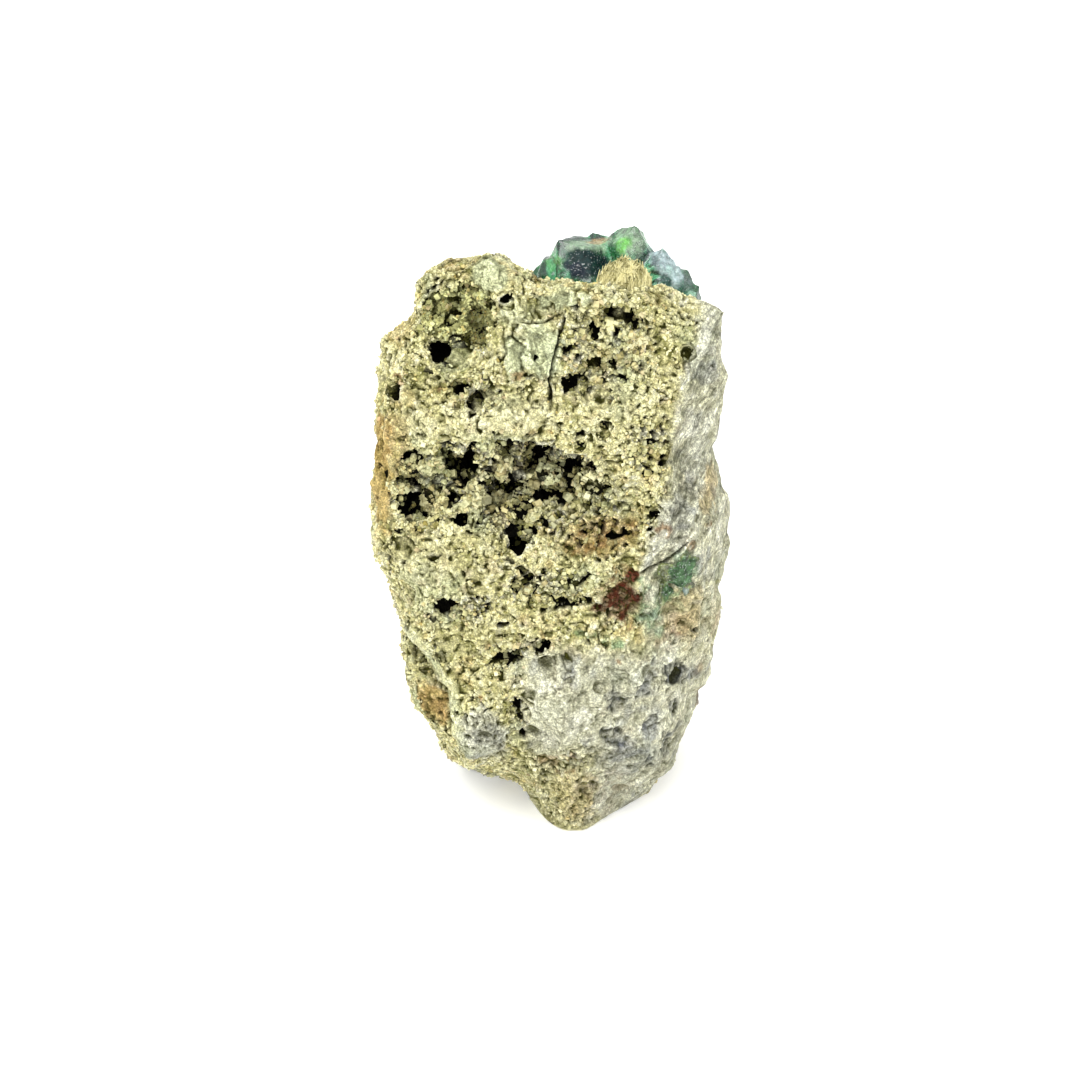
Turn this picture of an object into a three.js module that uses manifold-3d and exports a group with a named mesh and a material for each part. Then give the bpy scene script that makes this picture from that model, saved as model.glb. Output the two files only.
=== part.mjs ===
// A demantoid garnet specimen: one rough block of pale yellow-green granular rock, the matrix, with a druse of
// green garnet crystals over its crest and its back and a small cluster of them low on its broad bare front.
//
// Millimetres, +Z up. The origin lies on the flat patch that the block stands on. The bare front looks along
// -Y, and the druse along +Y.
import * as THREE from "three";
import { ConvexGeometry } from "three/addons/geometries/ConvexGeometry.js";
import { ImprovedNoise } from "three/addons/math/ImprovedNoise.js";
import { mergeVertices } from "three/addons/utils/BufferGeometryUtils.js";
import Module from "manifold-3d";

const wasm = await Module();
wasm.setup();

// ---- Driving dimensions -------------------------------------------------------------------------

const LEAN = THREE.MathUtils.degToRad(28); // the block's widest section leans back by this much
const HUB_HEIGHT = 28.9; // height of the middle of that section
const GAP = 0.3; // clearance between the crystals and the rock that they grow on
const FRONT_BULGE = 11.3; // from the widest section out to the front, at the hub
const FRONT_SLOPE = 0.27; // how much further out the front stands, per millimetre up the section
const BACK_DEPTH = 12.6; // from the hub to the upright back, along +Y

const FINENESS = 11; // how often each edge of the block's icosahedral mesh is divided

// The outline of the widest section, [x, y, z], from the notch beside the crest crystals, down the left side,
// under the foot, and up the right side. Points just below 0 are trimmed off by the resting face.
const OUTLINE = [
  [-1.7, 0.5, 58.4], [-3.8, 1, 60.0], [-6.2, 1.5, 60.0], [-8.5, 1.5, 58.7], [-10.1, 1.5, 59.3],
  [-12.4, 2, 58.0], [-13.4, 2, 57.2], [-13.6, 2, 54.7], [-14.7, 2.5, 51.8], [-16.6, 3, 50.8],
  [-17.2, 3, 47.7], [-17.7, 2, 43.9], [-17.8, 2, 39.4], [-18.0, 2, 35.6], [-18.5, 2, 29.5],
  [-18.1, 2, 25.8], [-16.7, 2, 22.6], [-15.7, 3.5, 18.1], [-15.4, 5, 14.2], [-14.9, 6, 9.4],
  [-14.2, 6, 5.3], [-12.8, 6, 3.4], [-11.2, 5.4, 0.8], [-10.6, 5.2, -0.6], [-6.3, 2.0, -0.6],
  [-3.7, 1.6, -0.6], [-2.2, -1.6, -0.6], [-1.0, -5.4, -0.6], [0.8, -8.6, -0.6], [3.0, -9.4, -0.6],
  [6.0, -6.8, -0.6], [10.2, -3.2, 0.2], [12.6, -2.8, 2.6], [14.6, -1, 6.5], [15.6, 0, 8.6],
  [16.6, 0, 12.1], [17.8, 1, 16.9], [17.9, 1, 20.6], [18.2, 1, 24.1], [18.8, 1, 27.3],
  [18.7, 1, 31.6], [18.0, 1, 35.4], [16.9, 1, 38.8], [17.4, 0, 41.5], [18.1, 0, 46.3],
  [17.5, 0, 49.9], [17.0, 0, 54.4], [15.6, 0.5, 55.6], [13.0, 1, 56.4], [9.8, 1, 57.4],
  [7.4, 1, 57.6], [4.9, 0.5, 57.2], [2.0, 0.5, 57.7],
];

// How the surface runs from the middle of the front to the outline: [share of the way out from the middle,
// share of the full bulge]. The block mostly breaks off sharply, the break on the right is slanting, and the
// foot is rounded.
const SHARP_EDGE = [[0, 1], [0.45, 1], [0.78, 0.98], [0.92, 0.84], [0.98, 0.48]];
const SLANT_EDGE = [[0, 1], [0.42, 1], [0.66, 0.97], [0.79, 0.8], [0.91, 0.46]];
const ROUND_EDGE = [[0, 1], [0.4, 0.98], [0.66, 0.86], [0.85, 0.63], [0.96, 0.33]];
// The same from the outline to the middle of the back.
const BACK_EDGE = [[1, 0], [0.95, -0.3], [0.93, -0.55], [0.87, -0.8], [0.74, -0.95], [0.45, -1], [0, -1]];
const PROFILE_SCALE = new THREE.Vector2(22, 13); // about the block's half width and half depth

// Broad forms of the front, [u, v] being millimetres across and up the leaned section from the hub. Each
// stands out (or, if negative, falls back) by its rise over an oval of the given half sizes.
const FRONT_FORMS = [
  { at: [6.2, -17.5], half: [8.5, 8], rise: 2.2 }, // the weathered lobe at the foot
  { at: [-0.8, 3.4], half: [7.6, 6.2], rise: -2.0 }, // the main cavity
  { at: [-12.6, 4.4], half: [4.2, 5.2], rise: -1.5 }, // the cavity beside the left edge
  { at: [-8.8, 21.0], half: [4.6, 4.2], rise: -1.6 }, // the hollow under the left crest
  { at: [-3.0, 18.5], half: [3.6, 5.4], rise: 1.1 }, // the smooth plate beside it
  { at: [5.8, 24.6], half: [6.5, 3], rise: 1.1 }, // the brow under the crest crystals
  { at: [-6.5, 10.8], half: [8.5, 2.6], rise: 0.9 }, // the shelf over the cavities
  { at: [5.2, 15.6], half: [3.6, 3.4], rise: -0.9 }, // the dip in the upper right
  { at: [3.4, -6.4], half: [4.5, 1.6], rise: -0.9 }, // the stained seam
  { at: [-6, -13], half: [6, 2.2], rise: -0.9 }, // the seam over the lower left lobe
  { at: [15.5, -2], half: [3.5, 7], rise: 1.0 }, // the swelling of the right side
];
const CREASE_LINE = [[-3.4, -23.5], [-3.1, -17], [-1.2, -12.6], [2.6, -11.4]]; // seam round the foot lobe
const CREASE_DEPTH = 1.4;

// The front slab ends along a line low on the left, and beyond it the rock falls back into a hollow.
const SLAB_EDGE = [[-15.6, -7.6], [-14.7, -9.0], [-13.5, -10.6], [-12.0, -12.2], [-9.9, -14.8],
  [-9.9, -17.8], [-8.9, -21.0], [-6.6, -22.4], [-6.0, -26]];
const SLAB_HOLLOW = { at: [-16.5, -17, 10.5], half: [10.5, 13.5, 10.5] }; // [u, v, w] and half sizes

// Holes in the front: where, half sizes across, up and inwards, and the turn of the long axis in degrees.
const HOLES = [
  { at: [-1.2, 4.4], half: [5.4, 3.0, 2.3], turn: -4 }, // the main cavity, then its deeper holes
  { at: [-0.3, 7.3], half: [4.9, 1.5, 3.6], turn: -7 },
  { at: [-4.2, 4.2], half: [2.3, 1.9, 3.7], turn: 12 },
  { at: [-3.0, 0.9], half: [1.1, 1.8, 2.6], turn: -8 },
  { at: [-8.8, 7.2], half: [1.5, 1.5, 2.6], turn: 0 },
  { at: [-6.6, 5.6], half: [0.8, 0.6, 1.9], turn: 25 },
  { at: [-13.4, 4.4], half: [2.2, 2.2, 1.7], turn: 5 }, // the cavity beside the left edge
  { at: [-13.9, 7.9], half: [0.6, 1.0, 1.6], turn: -15 },
  { at: [-12.9, 3.3], half: [1.5, 1.2, 2.8], turn: 8 },
  { at: [-10.5, 3.9], half: [0.7, 1.2, 1.8], turn: -12 },
  { at: [-8.9, 2.0], half: [0.7, 0.7, 1.6], turn: 0 },
  { at: [-11.0, 18.8], half: [1.05, 1.25, 2.8], turn: 10 },
  { at: [-7.0, 20.9], half: [0.9, 2.3, 1.8], turn: -4 },
  { at: [-10.3, 22.0], half: [1.6, 1.2, 1.3], turn: 20 },
  { at: [-4.2, 23.0], half: [0.75, 0.7, 1.6], turn: 0 },
  { at: [-1.2, 17.7], half: [0.6, 0.5, 1.2], turn: 0 },
  { at: [-9.1, 14.8], half: [1.2, 0.6, 1.7], turn: 38 },
  { at: [-7.3, 13.6], half: [1.1, 0.55, 1.6], turn: 40 },
  { at: [-15.4, 14.8], half: [0.7, 0.9, 1.5], turn: 0 },
  { at: [2.5, 15.2], half: [1.3, 0.95, 2.2], turn: 35 },
  { at: [4.1, 17.0], half: [1.3, 0.7, 1.9], turn: 62 },
  { at: [4.0, 20.3], half: [0.85, 0.65, 1.5], turn: 15 },
  { at: [6.8, 21.9], half: [1.4, 0.6, 1.6], turn: -8 },
  { at: [7.6, 17.4], half: [0.7, 0.6, 1.3], turn: 0 },
  { at: [13.5, 18.3], half: [0.8, 0.5, 1.2], turn: -20 },
  { at: [-2.6, -4.0], half: [0.6, 1.0, 1.5], turn: -20 },
  { at: [-10.0, -6.8], half: [1.7, 0.6, 1.8], turn: 3 },
  { at: [2.7, -6.6], half: [2.6, 0.6, 1.7], turn: 6 },
  { at: [-4.5, -12.0], half: [1.7, 0.5, 1.7], turn: 14 },
  { at: [-0.9, -10.8], half: [0.9, 0.6, 1.6], turn: 40 },
  { at: [-3.0, -17.7], half: [0.7, 1.5, 2.0], turn: 0 },
  { at: [5.3, -14.8], half: [0.8, 0.6, 1.1], turn: 20 },
  { at: [9.8, -13.2], half: [0.9, 0.6, 1.1], turn: 35 },
  { at: [13.2, -14.0], half: [1.1, 0.7, 1.2], turn: -20 },
  { at: [5.2, 10.4], half: [0.85, 0.6, 1.3], turn: 40 },
  { at: [3.0, 9.3], half: [0.7, 0.5, 1.3], turn: 25 },
  { at: [9.6, 2.6], half: [0.6, 0.8, 1.2], turn: 10 },
];

// Knobs that stand on the matrix: centre and half sizes, and the turn about Y in degrees.
const KNOBS = [
  { at: [7.0, -0.2, 57.9], half: [2.2, 1.8, 1.8], turn: -8 }, // the fibrous tuft below the crest crystals
  { at: [14.5, 0.2, 55.2], half: [1.9, 1.4, 0.9], turn: 12 },
  { at: [16.4, -0.2, 54.5], half: [1.2, 1.2, 0.8], turn: 25 },
  { at: [-4.8, 0.4, 58.9], half: [2.1, 1.6, 1.2], turn: 5 },
  { at: [-10.4, 0.8, 58.2], half: [1.5, 1.4, 1.0], turn: 0 },
];

// Garnet crystals of the crest, then a few at the block's edges: centre, distance from the centre to each
// face, the way one face looks, and the turn about that direction in degrees.
const RIM_CRYSTALS = [
  { at: [2.9, 5.2, 56.4], reach: 2.8, face: [-0.15, -0.75, 0.6], turn: 38 },
  { at: [0.5, 4.8, 56.4], reach: 1.5, face: [-0.5, -0.6, 0.5], turn: 75 },
  { at: [5.2, 6.8, 57.0], reach: 1.9, face: [0.1, -0.4, 0.9], turn: 20 },
  { at: [7.8, 6.0, 58.0], reach: 2.0, face: [0.2, -0.7, 0.6], turn: 10 },
  { at: [8.6, 6.4, 55.8], reach: 2.3, face: [0.5, -0.5, 0.3], turn: 50 },
  { at: [10.9, 4.9, 56.7], reach: 1.45, face: [0.5, -0.6, 0.7], turn: 35 },
  { at: [12.6, 4.6, 55.3], reach: 1.5, face: [0.7, -0.3, 0.6], turn: 80 },
  { at: [11.2, 4.4, 55.0], reach: 1.7, face: [0.2, -0.9, 0.2], turn: 15 },
  { at: [13.7, 4.2, 54.2], reach: 1.2, face: [0.8, -0.3, 0.1], turn: 60 },
  { at: [5.6, 9.4, 54.6], reach: 2.6, face: [0, 0.6, 0.8], turn: 30 },
  { at: [10.3, 8.8, 53.6], reach: 2.4, face: [0.4, 0.5, 0.7], turn: 55 },
  { at: [1.2, 8.8, 54.0], reach: 2.2, face: [-0.5, 0.5, 0.6], turn: 12 },
  { at: [-16.6, 7.4, 31.0], reach: 1.5, face: [-0.9, 0.2, 0.3], turn: 20 },
  { at: [-16.7, 7.2, 28.0], reach: 1.6, face: [-0.8, -0.3, 0.1], turn: 65 },
  { at: [16.0, 8.0, 18.6], reach: 1.5, face: [0.9, 0.1, 0.2], turn: 40 },
  { at: [15.7, 8.4, 15.9], reach: 1.5, face: [0.8, 0.4, -0.2], turn: 5 },
];

// The small green spot low on the right of the front: [u, v] and the distance from centre to face.
const SPOT_CRYSTALS = [
  { at: [13.7, -2.1], reach: 1.0 },
  { at: [13.1, -3.5], reach: 1.15 },
  { at: [12.1, -4.6], reach: 0.95 },
  { at: [11.2, -5.7], reach: 0.8 },
  { at: [13.9, -4.5], reach: 0.85 },
  { at: [12.2, -2.9], reach: 0.8 },
];

// The druse over the back: crystals strewn between two bearings, in degrees from straight back towards +X
// round an upright axis, and two heights. The largest come first and the smaller ones fill in.
const DRUSE_AXIS = [0, 2]; // [x, y]
const DRUSE_BEARINGS = [-62, 60];
const DRUSE_HEIGHTS = [14.5, 51];
const DRUSE_REACH = [3.7, 1.5]; // distance from the centre to each face, largest and smallest
const DRUSE_TRIES = 380;
const DRUSE_SPACING = 0.8; // least distance between two crystals, as a share of their reaches together

// ---- Small tools --------------------------------------------------------------------------------

const ACROSS = new THREE.Vector3(1, 0, 0);
const UPWARD = new THREE.Vector3(0, Math.sin(LEAN), Math.cos(LEAN));
const OUTWARD = new THREE.Vector3(0, -Math.cos(LEAN), Math.sin(LEAN));
const HUB = new THREE.Vector3(0, 0, HUB_HEIGHT);
const noise = new ImprovedNoise();

// A repeatable number from 0 to 1 for each seed.
const chance = (seed) => {
  const wave = Math.sin(seed * 12.9898) * 43758.5453;
  return wave - Math.floor(wave);
};

const smooth = THREE.MathUtils.smoothstep;

// Millimetres across, up and out of the leaned section, to the part's frame and back.
const place = (u, v, w) =>
  HUB.clone().addScaledVector(ACROSS, u).addScaledVector(UPWARD, v).addScaledVector(OUTWARD, w);
const leaned = (point) => {
  const arm = point.clone().sub(HUB);
  return { u: arm.dot(ACROSS), v: arm.dot(UPWARD), w: arm.dot(OUTWARD) };
};

// A closed three.js geometry as a solid that can be joined and cut, and the other way round.
function solid(geometry) {
  const bare = new THREE.BufferGeometry();
  const loose = geometry.index ? geometry.toNonIndexed() : geometry;
  bare.setAttribute("position", loose.getAttribute("position"));
  const merged = mergeVertices(bare, 1e-4);
  return new wasm.Manifold(
    new wasm.Mesh({
      numProp: 3,
      vertProperties: new Float32Array(merged.attributes.position.array),
      triVerts: new Uint32Array(merged.index.array),
    }),
  );
}

function geometryOf(shape) {
  const mesh = shape.getMesh();
  const geometry = new THREE.BufferGeometry();
  geometry.setAttribute("position", new THREE.BufferAttribute(new Float32Array(mesh.vertProperties), 3));
  geometry.setIndex(new THREE.BufferAttribute(new Uint32Array(mesh.triVerts), 1));
  return geometry;
}

// The separate bodies of a solid, the largest first.
const bodies = (shape) => shape.decompose().sort((a, b) => b.volume() - a.volume());

// Distance from a point of the section to a broken line.
function distanceTo(line, u, v) {
  const point = new THREE.Vector3(u, v, 0);
  const spans = line.slice(1).map((end, i) => new THREE.Line3(new THREE.Vector3(...line[i], 0),
    new THREE.Vector3(...end, 0)));
  return Math.min(...spans.map((span) => span.closestPointToPoint(point, true, new THREE.Vector3())
    .distanceTo(point)));
}

// ---- Matrix -------------------------------------------------------------------------------------

// Height of the broad front over the leaned section.
function frontFace(u, v) {
  let w = FRONT_BULGE + FRONT_SLOPE * v;
  for (const { at, half, rise } of FRONT_FORMS) {
    const away = Math.hypot((u - at[0]) / half[0], (v - at[1]) / half[1]);
    w += rise * (1 - smooth(away, 0.45, 1.1));
  }
  w -= CREASE_DEPTH * (1 - smooth(distanceTo(CREASE_LINE, u, v), 0.2, 1.8));
  return w;
}

// Depth of the upright back behind the leaned section.
const backFace = (u, v) => (v * Math.sin(LEAN) - BACK_DEPTH + 0.012 * u * u) / Math.cos(LEAN);

// Broken relief of a granular rock: broad lumps, sharp creases and a finer crumble.
function relief({ x, y, z }) {
  const at = (scale, shift) => noise.noise(x / scale + shift, y / scale + shift, z / scale - shift);
  return 1.6 * at(7.5, 11.3) + 1.7 * (0.26 - Math.abs(at(4.4, 3.7))) + 1.1 * at(2.3, 7.9);
}

function profileCurve(edge) {
  const points = [...edge, ...BACK_EDGE].map((pair) => new THREE.Vector2(...pair));
  return new THREE.SplineCurve(points.map((point) => point.multiply(PROFILE_SCALE)));
}

// How strongly a bearing round the outline belongs to the part of it that lies about another bearing.
const near = (bearing, middle) => smooth(Math.cos(bearing - middle), 0.55, 0.95);

// The rough block before anything is cut: an icosahedral ball drawn out to the outline and both broad sides.
// The ball's +Z goes to the middle of the front, and its equator to the outline.
function blockGeometry() {
  const points = OUTLINE.map((corner) => new THREE.Vector3(...corner));
  const rim = new THREE.CatmullRomCurve3(points, true, "centripetal");
  const [sharp, slant, round] = [SHARP_EDGE, SLANT_EDGE, ROUND_EDGE].map(profileCurve);
  const ball = new THREE.IcosahedronGeometry(1, FINENESS);
  ball.deleteAttribute("normal");
  ball.deleteAttribute("uv");
  const block = mergeVertices(ball, 1e-4);
  const spot = block.getAttribute("position");
  const corner = new THREE.Vector3();
  const strength = []; // of the relief at each corner, least along the outline
  for (let i = 0; i < spot.count; i++) {
    corner.fromBufferAttribute(spot, i).normalize();
    const along = Math.acos(THREE.MathUtils.clamp(corner.z, -1, 1)) / Math.PI;
    const bearing = Math.atan2(corner.y, corner.x); // from +X towards the crest
    const edge = leaned(rim.getPointAt(THREE.MathUtils.euclideanModulo(bearing / (2 * Math.PI) - 0.25, 1)));
    const run = sharp.getPointAt(along);
    run.lerp(slant.getPointAt(along), near(bearing, 0.4)).lerp(round.getPointAt(along), near(bearing, -1));
    run.divide(PROFILE_SCALE);
    const [u, v] = [edge.u * run.x, edge.v * run.x];
    const face = run.y > 0 ? frontFace(u, v) : backFace(u, v);
    spot.setXYZ(i, ...place(u, v, THREE.MathUtils.lerp(edge.w, face, Math.abs(run.y))));
    strength.push(0.15 + 0.85 * (run.y > 0 ? smooth(run.y, 0.2, 0.95) : smooth(-run.y, 0.1, 0.5)));
  }
  return moveOut(block, (at, i) => relief(at) * strength[i]);
}

// Moves every corner of a mesh along its normal by a distance of its own.
function moveOut(geometry, distance) {
  geometry.computeVertexNormals();
  const { position, normal } = geometry.attributes;
  const corner = new THREE.Vector3();
  const facing = new THREE.Vector3();
  for (let i = 0; i < position.count; i++) {
    corner.fromBufferAttribute(position, i);
    facing.fromBufferAttribute(normal, i);
    position.setXYZ(i, ...corner.addScaledVector(facing, distance(corner, i)));
  }
  return geometry;
}

// A rounded, slightly broken stone of given half sizes, at the origin.
function pebble(half, seed, detail = 1) {
  const pebbleMesh = new THREE.IcosahedronGeometry(1, detail);
  const spot = pebbleMesh.getAttribute("position");
  const corner = new THREE.Vector3();
  for (let i = 0; i < spot.count; i++) {
    corner.fromBufferAttribute(spot, i);
    const swell = 1 + 0.32 * noise.noise(corner.x * 1.7 + seed, corner.y * 1.7 - seed, corner.z * 1.7 + seed);
    spot.setXYZ(i, ...corner.multiplyScalar(swell));
  }
  return pebbleMesh.scale(...half);
}

// Where a straight line meets the block from outside.
function surfaceHit(target, from, direction) {
  const hit = new THREE.Raycaster(from, direction.clone().normalize()).intersectObject(target)[0];
  return hit ? hit.point : null;
}

function holeSolid({ at, half, turn }, block, seed) {
  const mouth = surfaceHit(block, place(...at, 60), OUTWARD.clone().negate());
  const frame = new THREE.Matrix4().makeBasis(ACROSS, UPWARD, OUTWARD).setPosition(mouth);
  const spun = new THREE.Matrix4().makeRotationZ(THREE.MathUtils.degToRad(turn));
  return solid(pebble(half, seed, half[0] * half[1] > 1.3 ? 1 : 0).applyMatrix4(spun).applyMatrix4(frame));
}

// What the rock has lost beyond the slab's edge.
function slabStepSolid() {
  const corners = [[-30, -26], [-30, -7.6], ...SLAB_EDGE].map((pair) => new THREE.Vector2(...pair));
  const outline = new THREE.Shape(corners);
  const beyond = new THREE.ExtrudeGeometry(outline, { depth: 60, bevelEnabled: false }).translate(0, 0, -20);
  const hollow = pebble(SLAB_HOLLOW.half, 61, 4).translate(...SLAB_HOLLOW.at);
  const frame = new THREE.Matrix4().makeBasis(ACROSS, UPWARD, OUTWARD).setPosition(HUB);
  return solid(beyond.applyMatrix4(frame)).intersect(solid(hollow.applyMatrix4(frame)));
}

function knobSolid({ at, half, turn }, seed, grow) {
  const spun = new THREE.Matrix4().makeRotationY(THREE.MathUtils.degToRad(turn)).setPosition(...at);
  return solid(pebble(half.map((size) => size + grow), seed + 40).applyMatrix4(spun));
}

// ---- Garnet crystals ----------------------------------------------------------------------------

// Half the corners of a rhombic dodecahedron, the garnet's usual form; the others lie opposite.
const GARNET_CORNERS = [[2, 0, 0], [0, 2, 0], [0, 0, 2], [1, 1, 1], [-1, 1, 1], [1, -1, 1], [1, 1, -1]];

// A garnet crystal with one of its faces looking along a given direction.
function garnet({ at, reach, face, turn }) {
  const corners = GARNET_CORNERS.flatMap((corner) => [1, -1].map((sign) =>
    new THREE.Vector3(...corner).multiplyScalar((sign * reach) / Math.SQRT2)));
  const facing = new THREE.Vector3(...face).normalize();
  const spin = new THREE.Quaternion().setFromAxisAngle(facing, THREE.MathUtils.degToRad(turn));
  const tilt = new THREE.Quaternion().setFromUnitVectors(new THREE.Vector3(1, 1, 0).normalize(), facing);
  return solid(new ConvexGeometry(corners).applyQuaternion(spin.multiply(tilt)).translate(...at));
}

// A crystal where a straight line meets the block, standing out by a share of its reach.
function grownAt(block, from, direction, reach, seed, stand) {
  const spot = surfaceHit(block, from, direction);
  if (!spot) return [];
  const away = direction.clone().normalize().negate();
  const wobble = new THREE.Vector3(chance(seed) - 0.5, chance(seed + 0.3) - 0.5, chance(seed + 0.6) - 0.5);
  const at = spot.addScaledVector(away, stand * reach);
  return [{ at, reach, face: away.addScaledVector(wobble, 1.6), turn: 180 * chance(seed + 0.8) }];
}

function spotCrystals(block) {
  return SPOT_CRYSTALS.flatMap(({ at, reach }, i) =>
    grownAt(block, place(...at, 60), OUTWARD.clone().negate(), reach, i, -0.1));
}

// The druse ends in a ragged line that falls from the left of the back to its right.
const druseFoot = (bearing) => 20.5 - 0.075 * bearing + 2.5 * Math.sin(bearing / 13);

function druseCrystals(block) {
  const crystals = [];
  for (let i = 0; i < DRUSE_TRIES; i++) {
    const bearing = THREE.MathUtils.lerp(...DRUSE_BEARINGS, chance(i + 0.2));
    const height = THREE.MathUtils.lerp(...DRUSE_HEIGHTS, chance(i + 0.7));
    if (height < druseFoot(bearing)) continue;
    const usual = THREE.MathUtils.lerp(...DRUSE_REACH, Math.sqrt(i / DRUSE_TRIES));
    const reach = usual * (0.9 + 0.2 * chance(i + 0.4));
    const outward = new THREE.Vector3(0, 1, 0).applyAxisAngle(
      new THREE.Vector3(0, 0, 1), -THREE.MathUtils.degToRad(bearing));
    const from = new THREE.Vector3(...DRUSE_AXIS, height).addScaledVector(outward, 60);
    const [crystal] = grownAt(block, from, outward.negate(), reach, i, 0.05);
    const crowded = (other) => other.at.distanceTo(crystal.at) < DRUSE_SPACING * (other.reach + reach);
    if (crystal && !crystals.some(crowded)) crystals.push(crystal);
  }
  return crystals;
}

// ---- Assembly -----------------------------------------------------------------------------------

const together = (solids) => wasm.Manifold.union(solids);

function specimen() {
  const block = new THREE.Mesh(blockGeometry());
  const clusters = {
    demantoid_druse: [...RIM_CRYSTALS, ...druseCrystals(block)],
    demantoid_spot: spotCrystals(block),
  };
  const knobs = KNOBS.map((knob, i) => knobSolid(knob, i, 0));
  const holes = HOLES.map((hole, i) => holeSolid(hole, block, i));
  const ground = solid(new THREE.BoxGeometry(200, 200, 50).translate(0, 0, -25));
  const rough = together([solid(block.geometry), ...knobs]);
  const [matrix] = bodies(rough.subtract(together([...holes, slabStepSolid(), ground])));

  // The crystals end where they would come closer to the rock than the gap.
  const swollen = moveOut(block.geometry.clone(), () => GAP);
  const bed = together([solid(swollen), ...KNOBS.map((knob, i) => knobSolid(knob, i, GAP))]);

  const group = new THREE.Group();
  const rock = new THREE.MeshStandardMaterial({ color: 0xc9c48f, roughness: 0.95, metalness: 0 });
  const green = new THREE.MeshStandardMaterial({ color: 0x1f6b45, roughness: 0.15, metalness: 0 });
  const add = (name, shape, material) => {
    const mesh = new THREE.Mesh(geometryOf(shape), material);
    mesh.name = name;
    group.add(mesh);
  };
  add("matrix", matrix, rock);
  for (const [name, members] of Object.entries(clusters)) {
    const grown = bodies(together(members.map(garnet)).subtract(bed));
    grown.forEach((shape, i) => add(i ? `demantoid_crystal_${i}` : name, shape, green));
  }
  return group;
}

export default specimen();
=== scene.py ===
"""Dresses the demantoid garnet specimen: granular rock, green garnets, a fibrous tuft, a white studio."""

import logging
import math
from dataclasses import dataclass
from enum import Enum

import bmesh
import bpy
import numpy as np
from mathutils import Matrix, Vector
from mathutils.bvhtree import BVHTree


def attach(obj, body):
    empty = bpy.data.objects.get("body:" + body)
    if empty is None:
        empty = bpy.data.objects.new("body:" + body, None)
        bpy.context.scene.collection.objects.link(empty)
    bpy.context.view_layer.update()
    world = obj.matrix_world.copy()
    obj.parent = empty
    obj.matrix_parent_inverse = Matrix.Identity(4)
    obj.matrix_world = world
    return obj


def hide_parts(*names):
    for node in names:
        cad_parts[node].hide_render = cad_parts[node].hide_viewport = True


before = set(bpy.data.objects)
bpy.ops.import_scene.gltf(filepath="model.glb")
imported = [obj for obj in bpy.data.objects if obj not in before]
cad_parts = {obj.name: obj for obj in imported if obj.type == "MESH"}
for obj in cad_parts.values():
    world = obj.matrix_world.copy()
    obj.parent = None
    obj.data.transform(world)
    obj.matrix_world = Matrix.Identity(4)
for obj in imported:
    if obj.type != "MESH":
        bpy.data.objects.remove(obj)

log = logging.getLogger("specimen")

MM = 0.001
LEAN = math.radians(28)  # the broad front leans back by this much
HUB = np.array([0.0, 0.0, 28.9])  # middle of the leaned section, in millimetres
ACROSS = np.array([1.0, 0.0, 0.0])
UPWARD = np.array([0.0, math.sin(LEAN), math.cos(LEAN)])
OUTWARD = np.array([0.0, -math.cos(LEAN), math.sin(LEAN)])


# ---- Fields: repeatable noise over points in millimetres ---------------------------------------------


AXIS_FACTORS = np.array([73856093, 19349663, 83492791])  # large odd numbers that stir the cells up
SEED_FACTOR = 2654435761
STIR_FACTOR = 1274126177


def lattice(cells: np.ndarray, seed: int) -> np.ndarray:
    """Gives each whole-numbered cell of space a repeatable number.

    Args:
        cells: whole numbers, one row of three for each cell.
        seed: which of many such fields.

    Returns:
        One number from 0 to 1 for each cell.
    """
    mixed = cells.astype(np.int64) @ AXIS_FACTORS + seed * SEED_FACTOR
    mixed = (mixed ^ (mixed >> 13)) * STIR_FACTOR & 0x7FFFFFFFFFFF
    mixed = mixed ^ (mixed >> 16)
    return (mixed & 0xFFFFFF) / 0xFFFFFF


def drift(points: np.ndarray, size: float, seed: int) -> np.ndarray:
    """Smooth noise.

    Args:
        points: places in millimetres, one row each.
        size: how wide its lumps are, in millimetres.
        seed: which of many such fields.

    Returns:
        One number from -1 to 1 for each place.
    """
    scaled = points / size
    base = np.floor(scaled)
    part = scaled - base
    part = part * part * (3 - 2 * part)
    total = np.zeros(len(points))
    for corner in np.ndindex(2, 2, 2):
        weight = np.prod(np.where(corner, part, 1 - part), axis=1)
        total += weight * lattice(base + corner, seed)
    return 2 * total - 1


Layer = tuple[float, int]  # how wide the lumps of some noise are, in millimetres, and its seed


def mottle(points: np.ndarray, coarse: Layer, fine: Layer, share: float = 0.5) -> np.ndarray:
    """Smooth noise with small lumps laid on large ones.

    Args:
        points: places in millimetres, one row each.
        coarse: the large lumps.
        fine: the small lumps.
        share: how strong the small lumps are beside the large ones.

    Returns:
        One number for each place.
    """
    return drift(points, *coarse) + share * drift(points, *fine)


def pebbling(points: np.ndarray, size: float, seed: int) -> tuple[np.ndarray, np.ndarray, np.ndarray]:
    """Splits space into irregular cells, as packed grains do.

    Args:
        points: places in millimetres, one row each.
        size: about how wide a cell is, in millimetres.
        seed: which of many such fields.

    Returns:
        The distances to the nearest and the next cell's middle, in cell sizes, and the nearest
        cell's own number from 0 to 1.
    """
    scaled = points / size
    base = np.floor(scaled)
    first = np.full(len(points), 9.0)
    second = np.full(len(points), 9.0)
    pick = np.zeros(len(points))
    for step in np.ndindex(3, 3, 3):
        cell = base + np.array(step) - 1
        middle = cell + np.stack([lattice(cell, seed + axis) for axis in range(3)], axis=1)
        away = np.linalg.norm(middle - scaled, axis=1)
        closer = away < first
        second = np.where(closer, first, np.minimum(second, away))
        pick = np.where(closer, lattice(cell, seed + 3), pick)
        first = np.where(closer, away, first)
    return first, second, pick


def ease(value: np.ndarray, low: float, high: float) -> np.ndarray:
    """A smooth step from 0 at low to 1 at high."""
    share = np.clip((value - low) / (high - low), 0, 1)
    return share * share * (3 - 2 * share)


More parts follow.
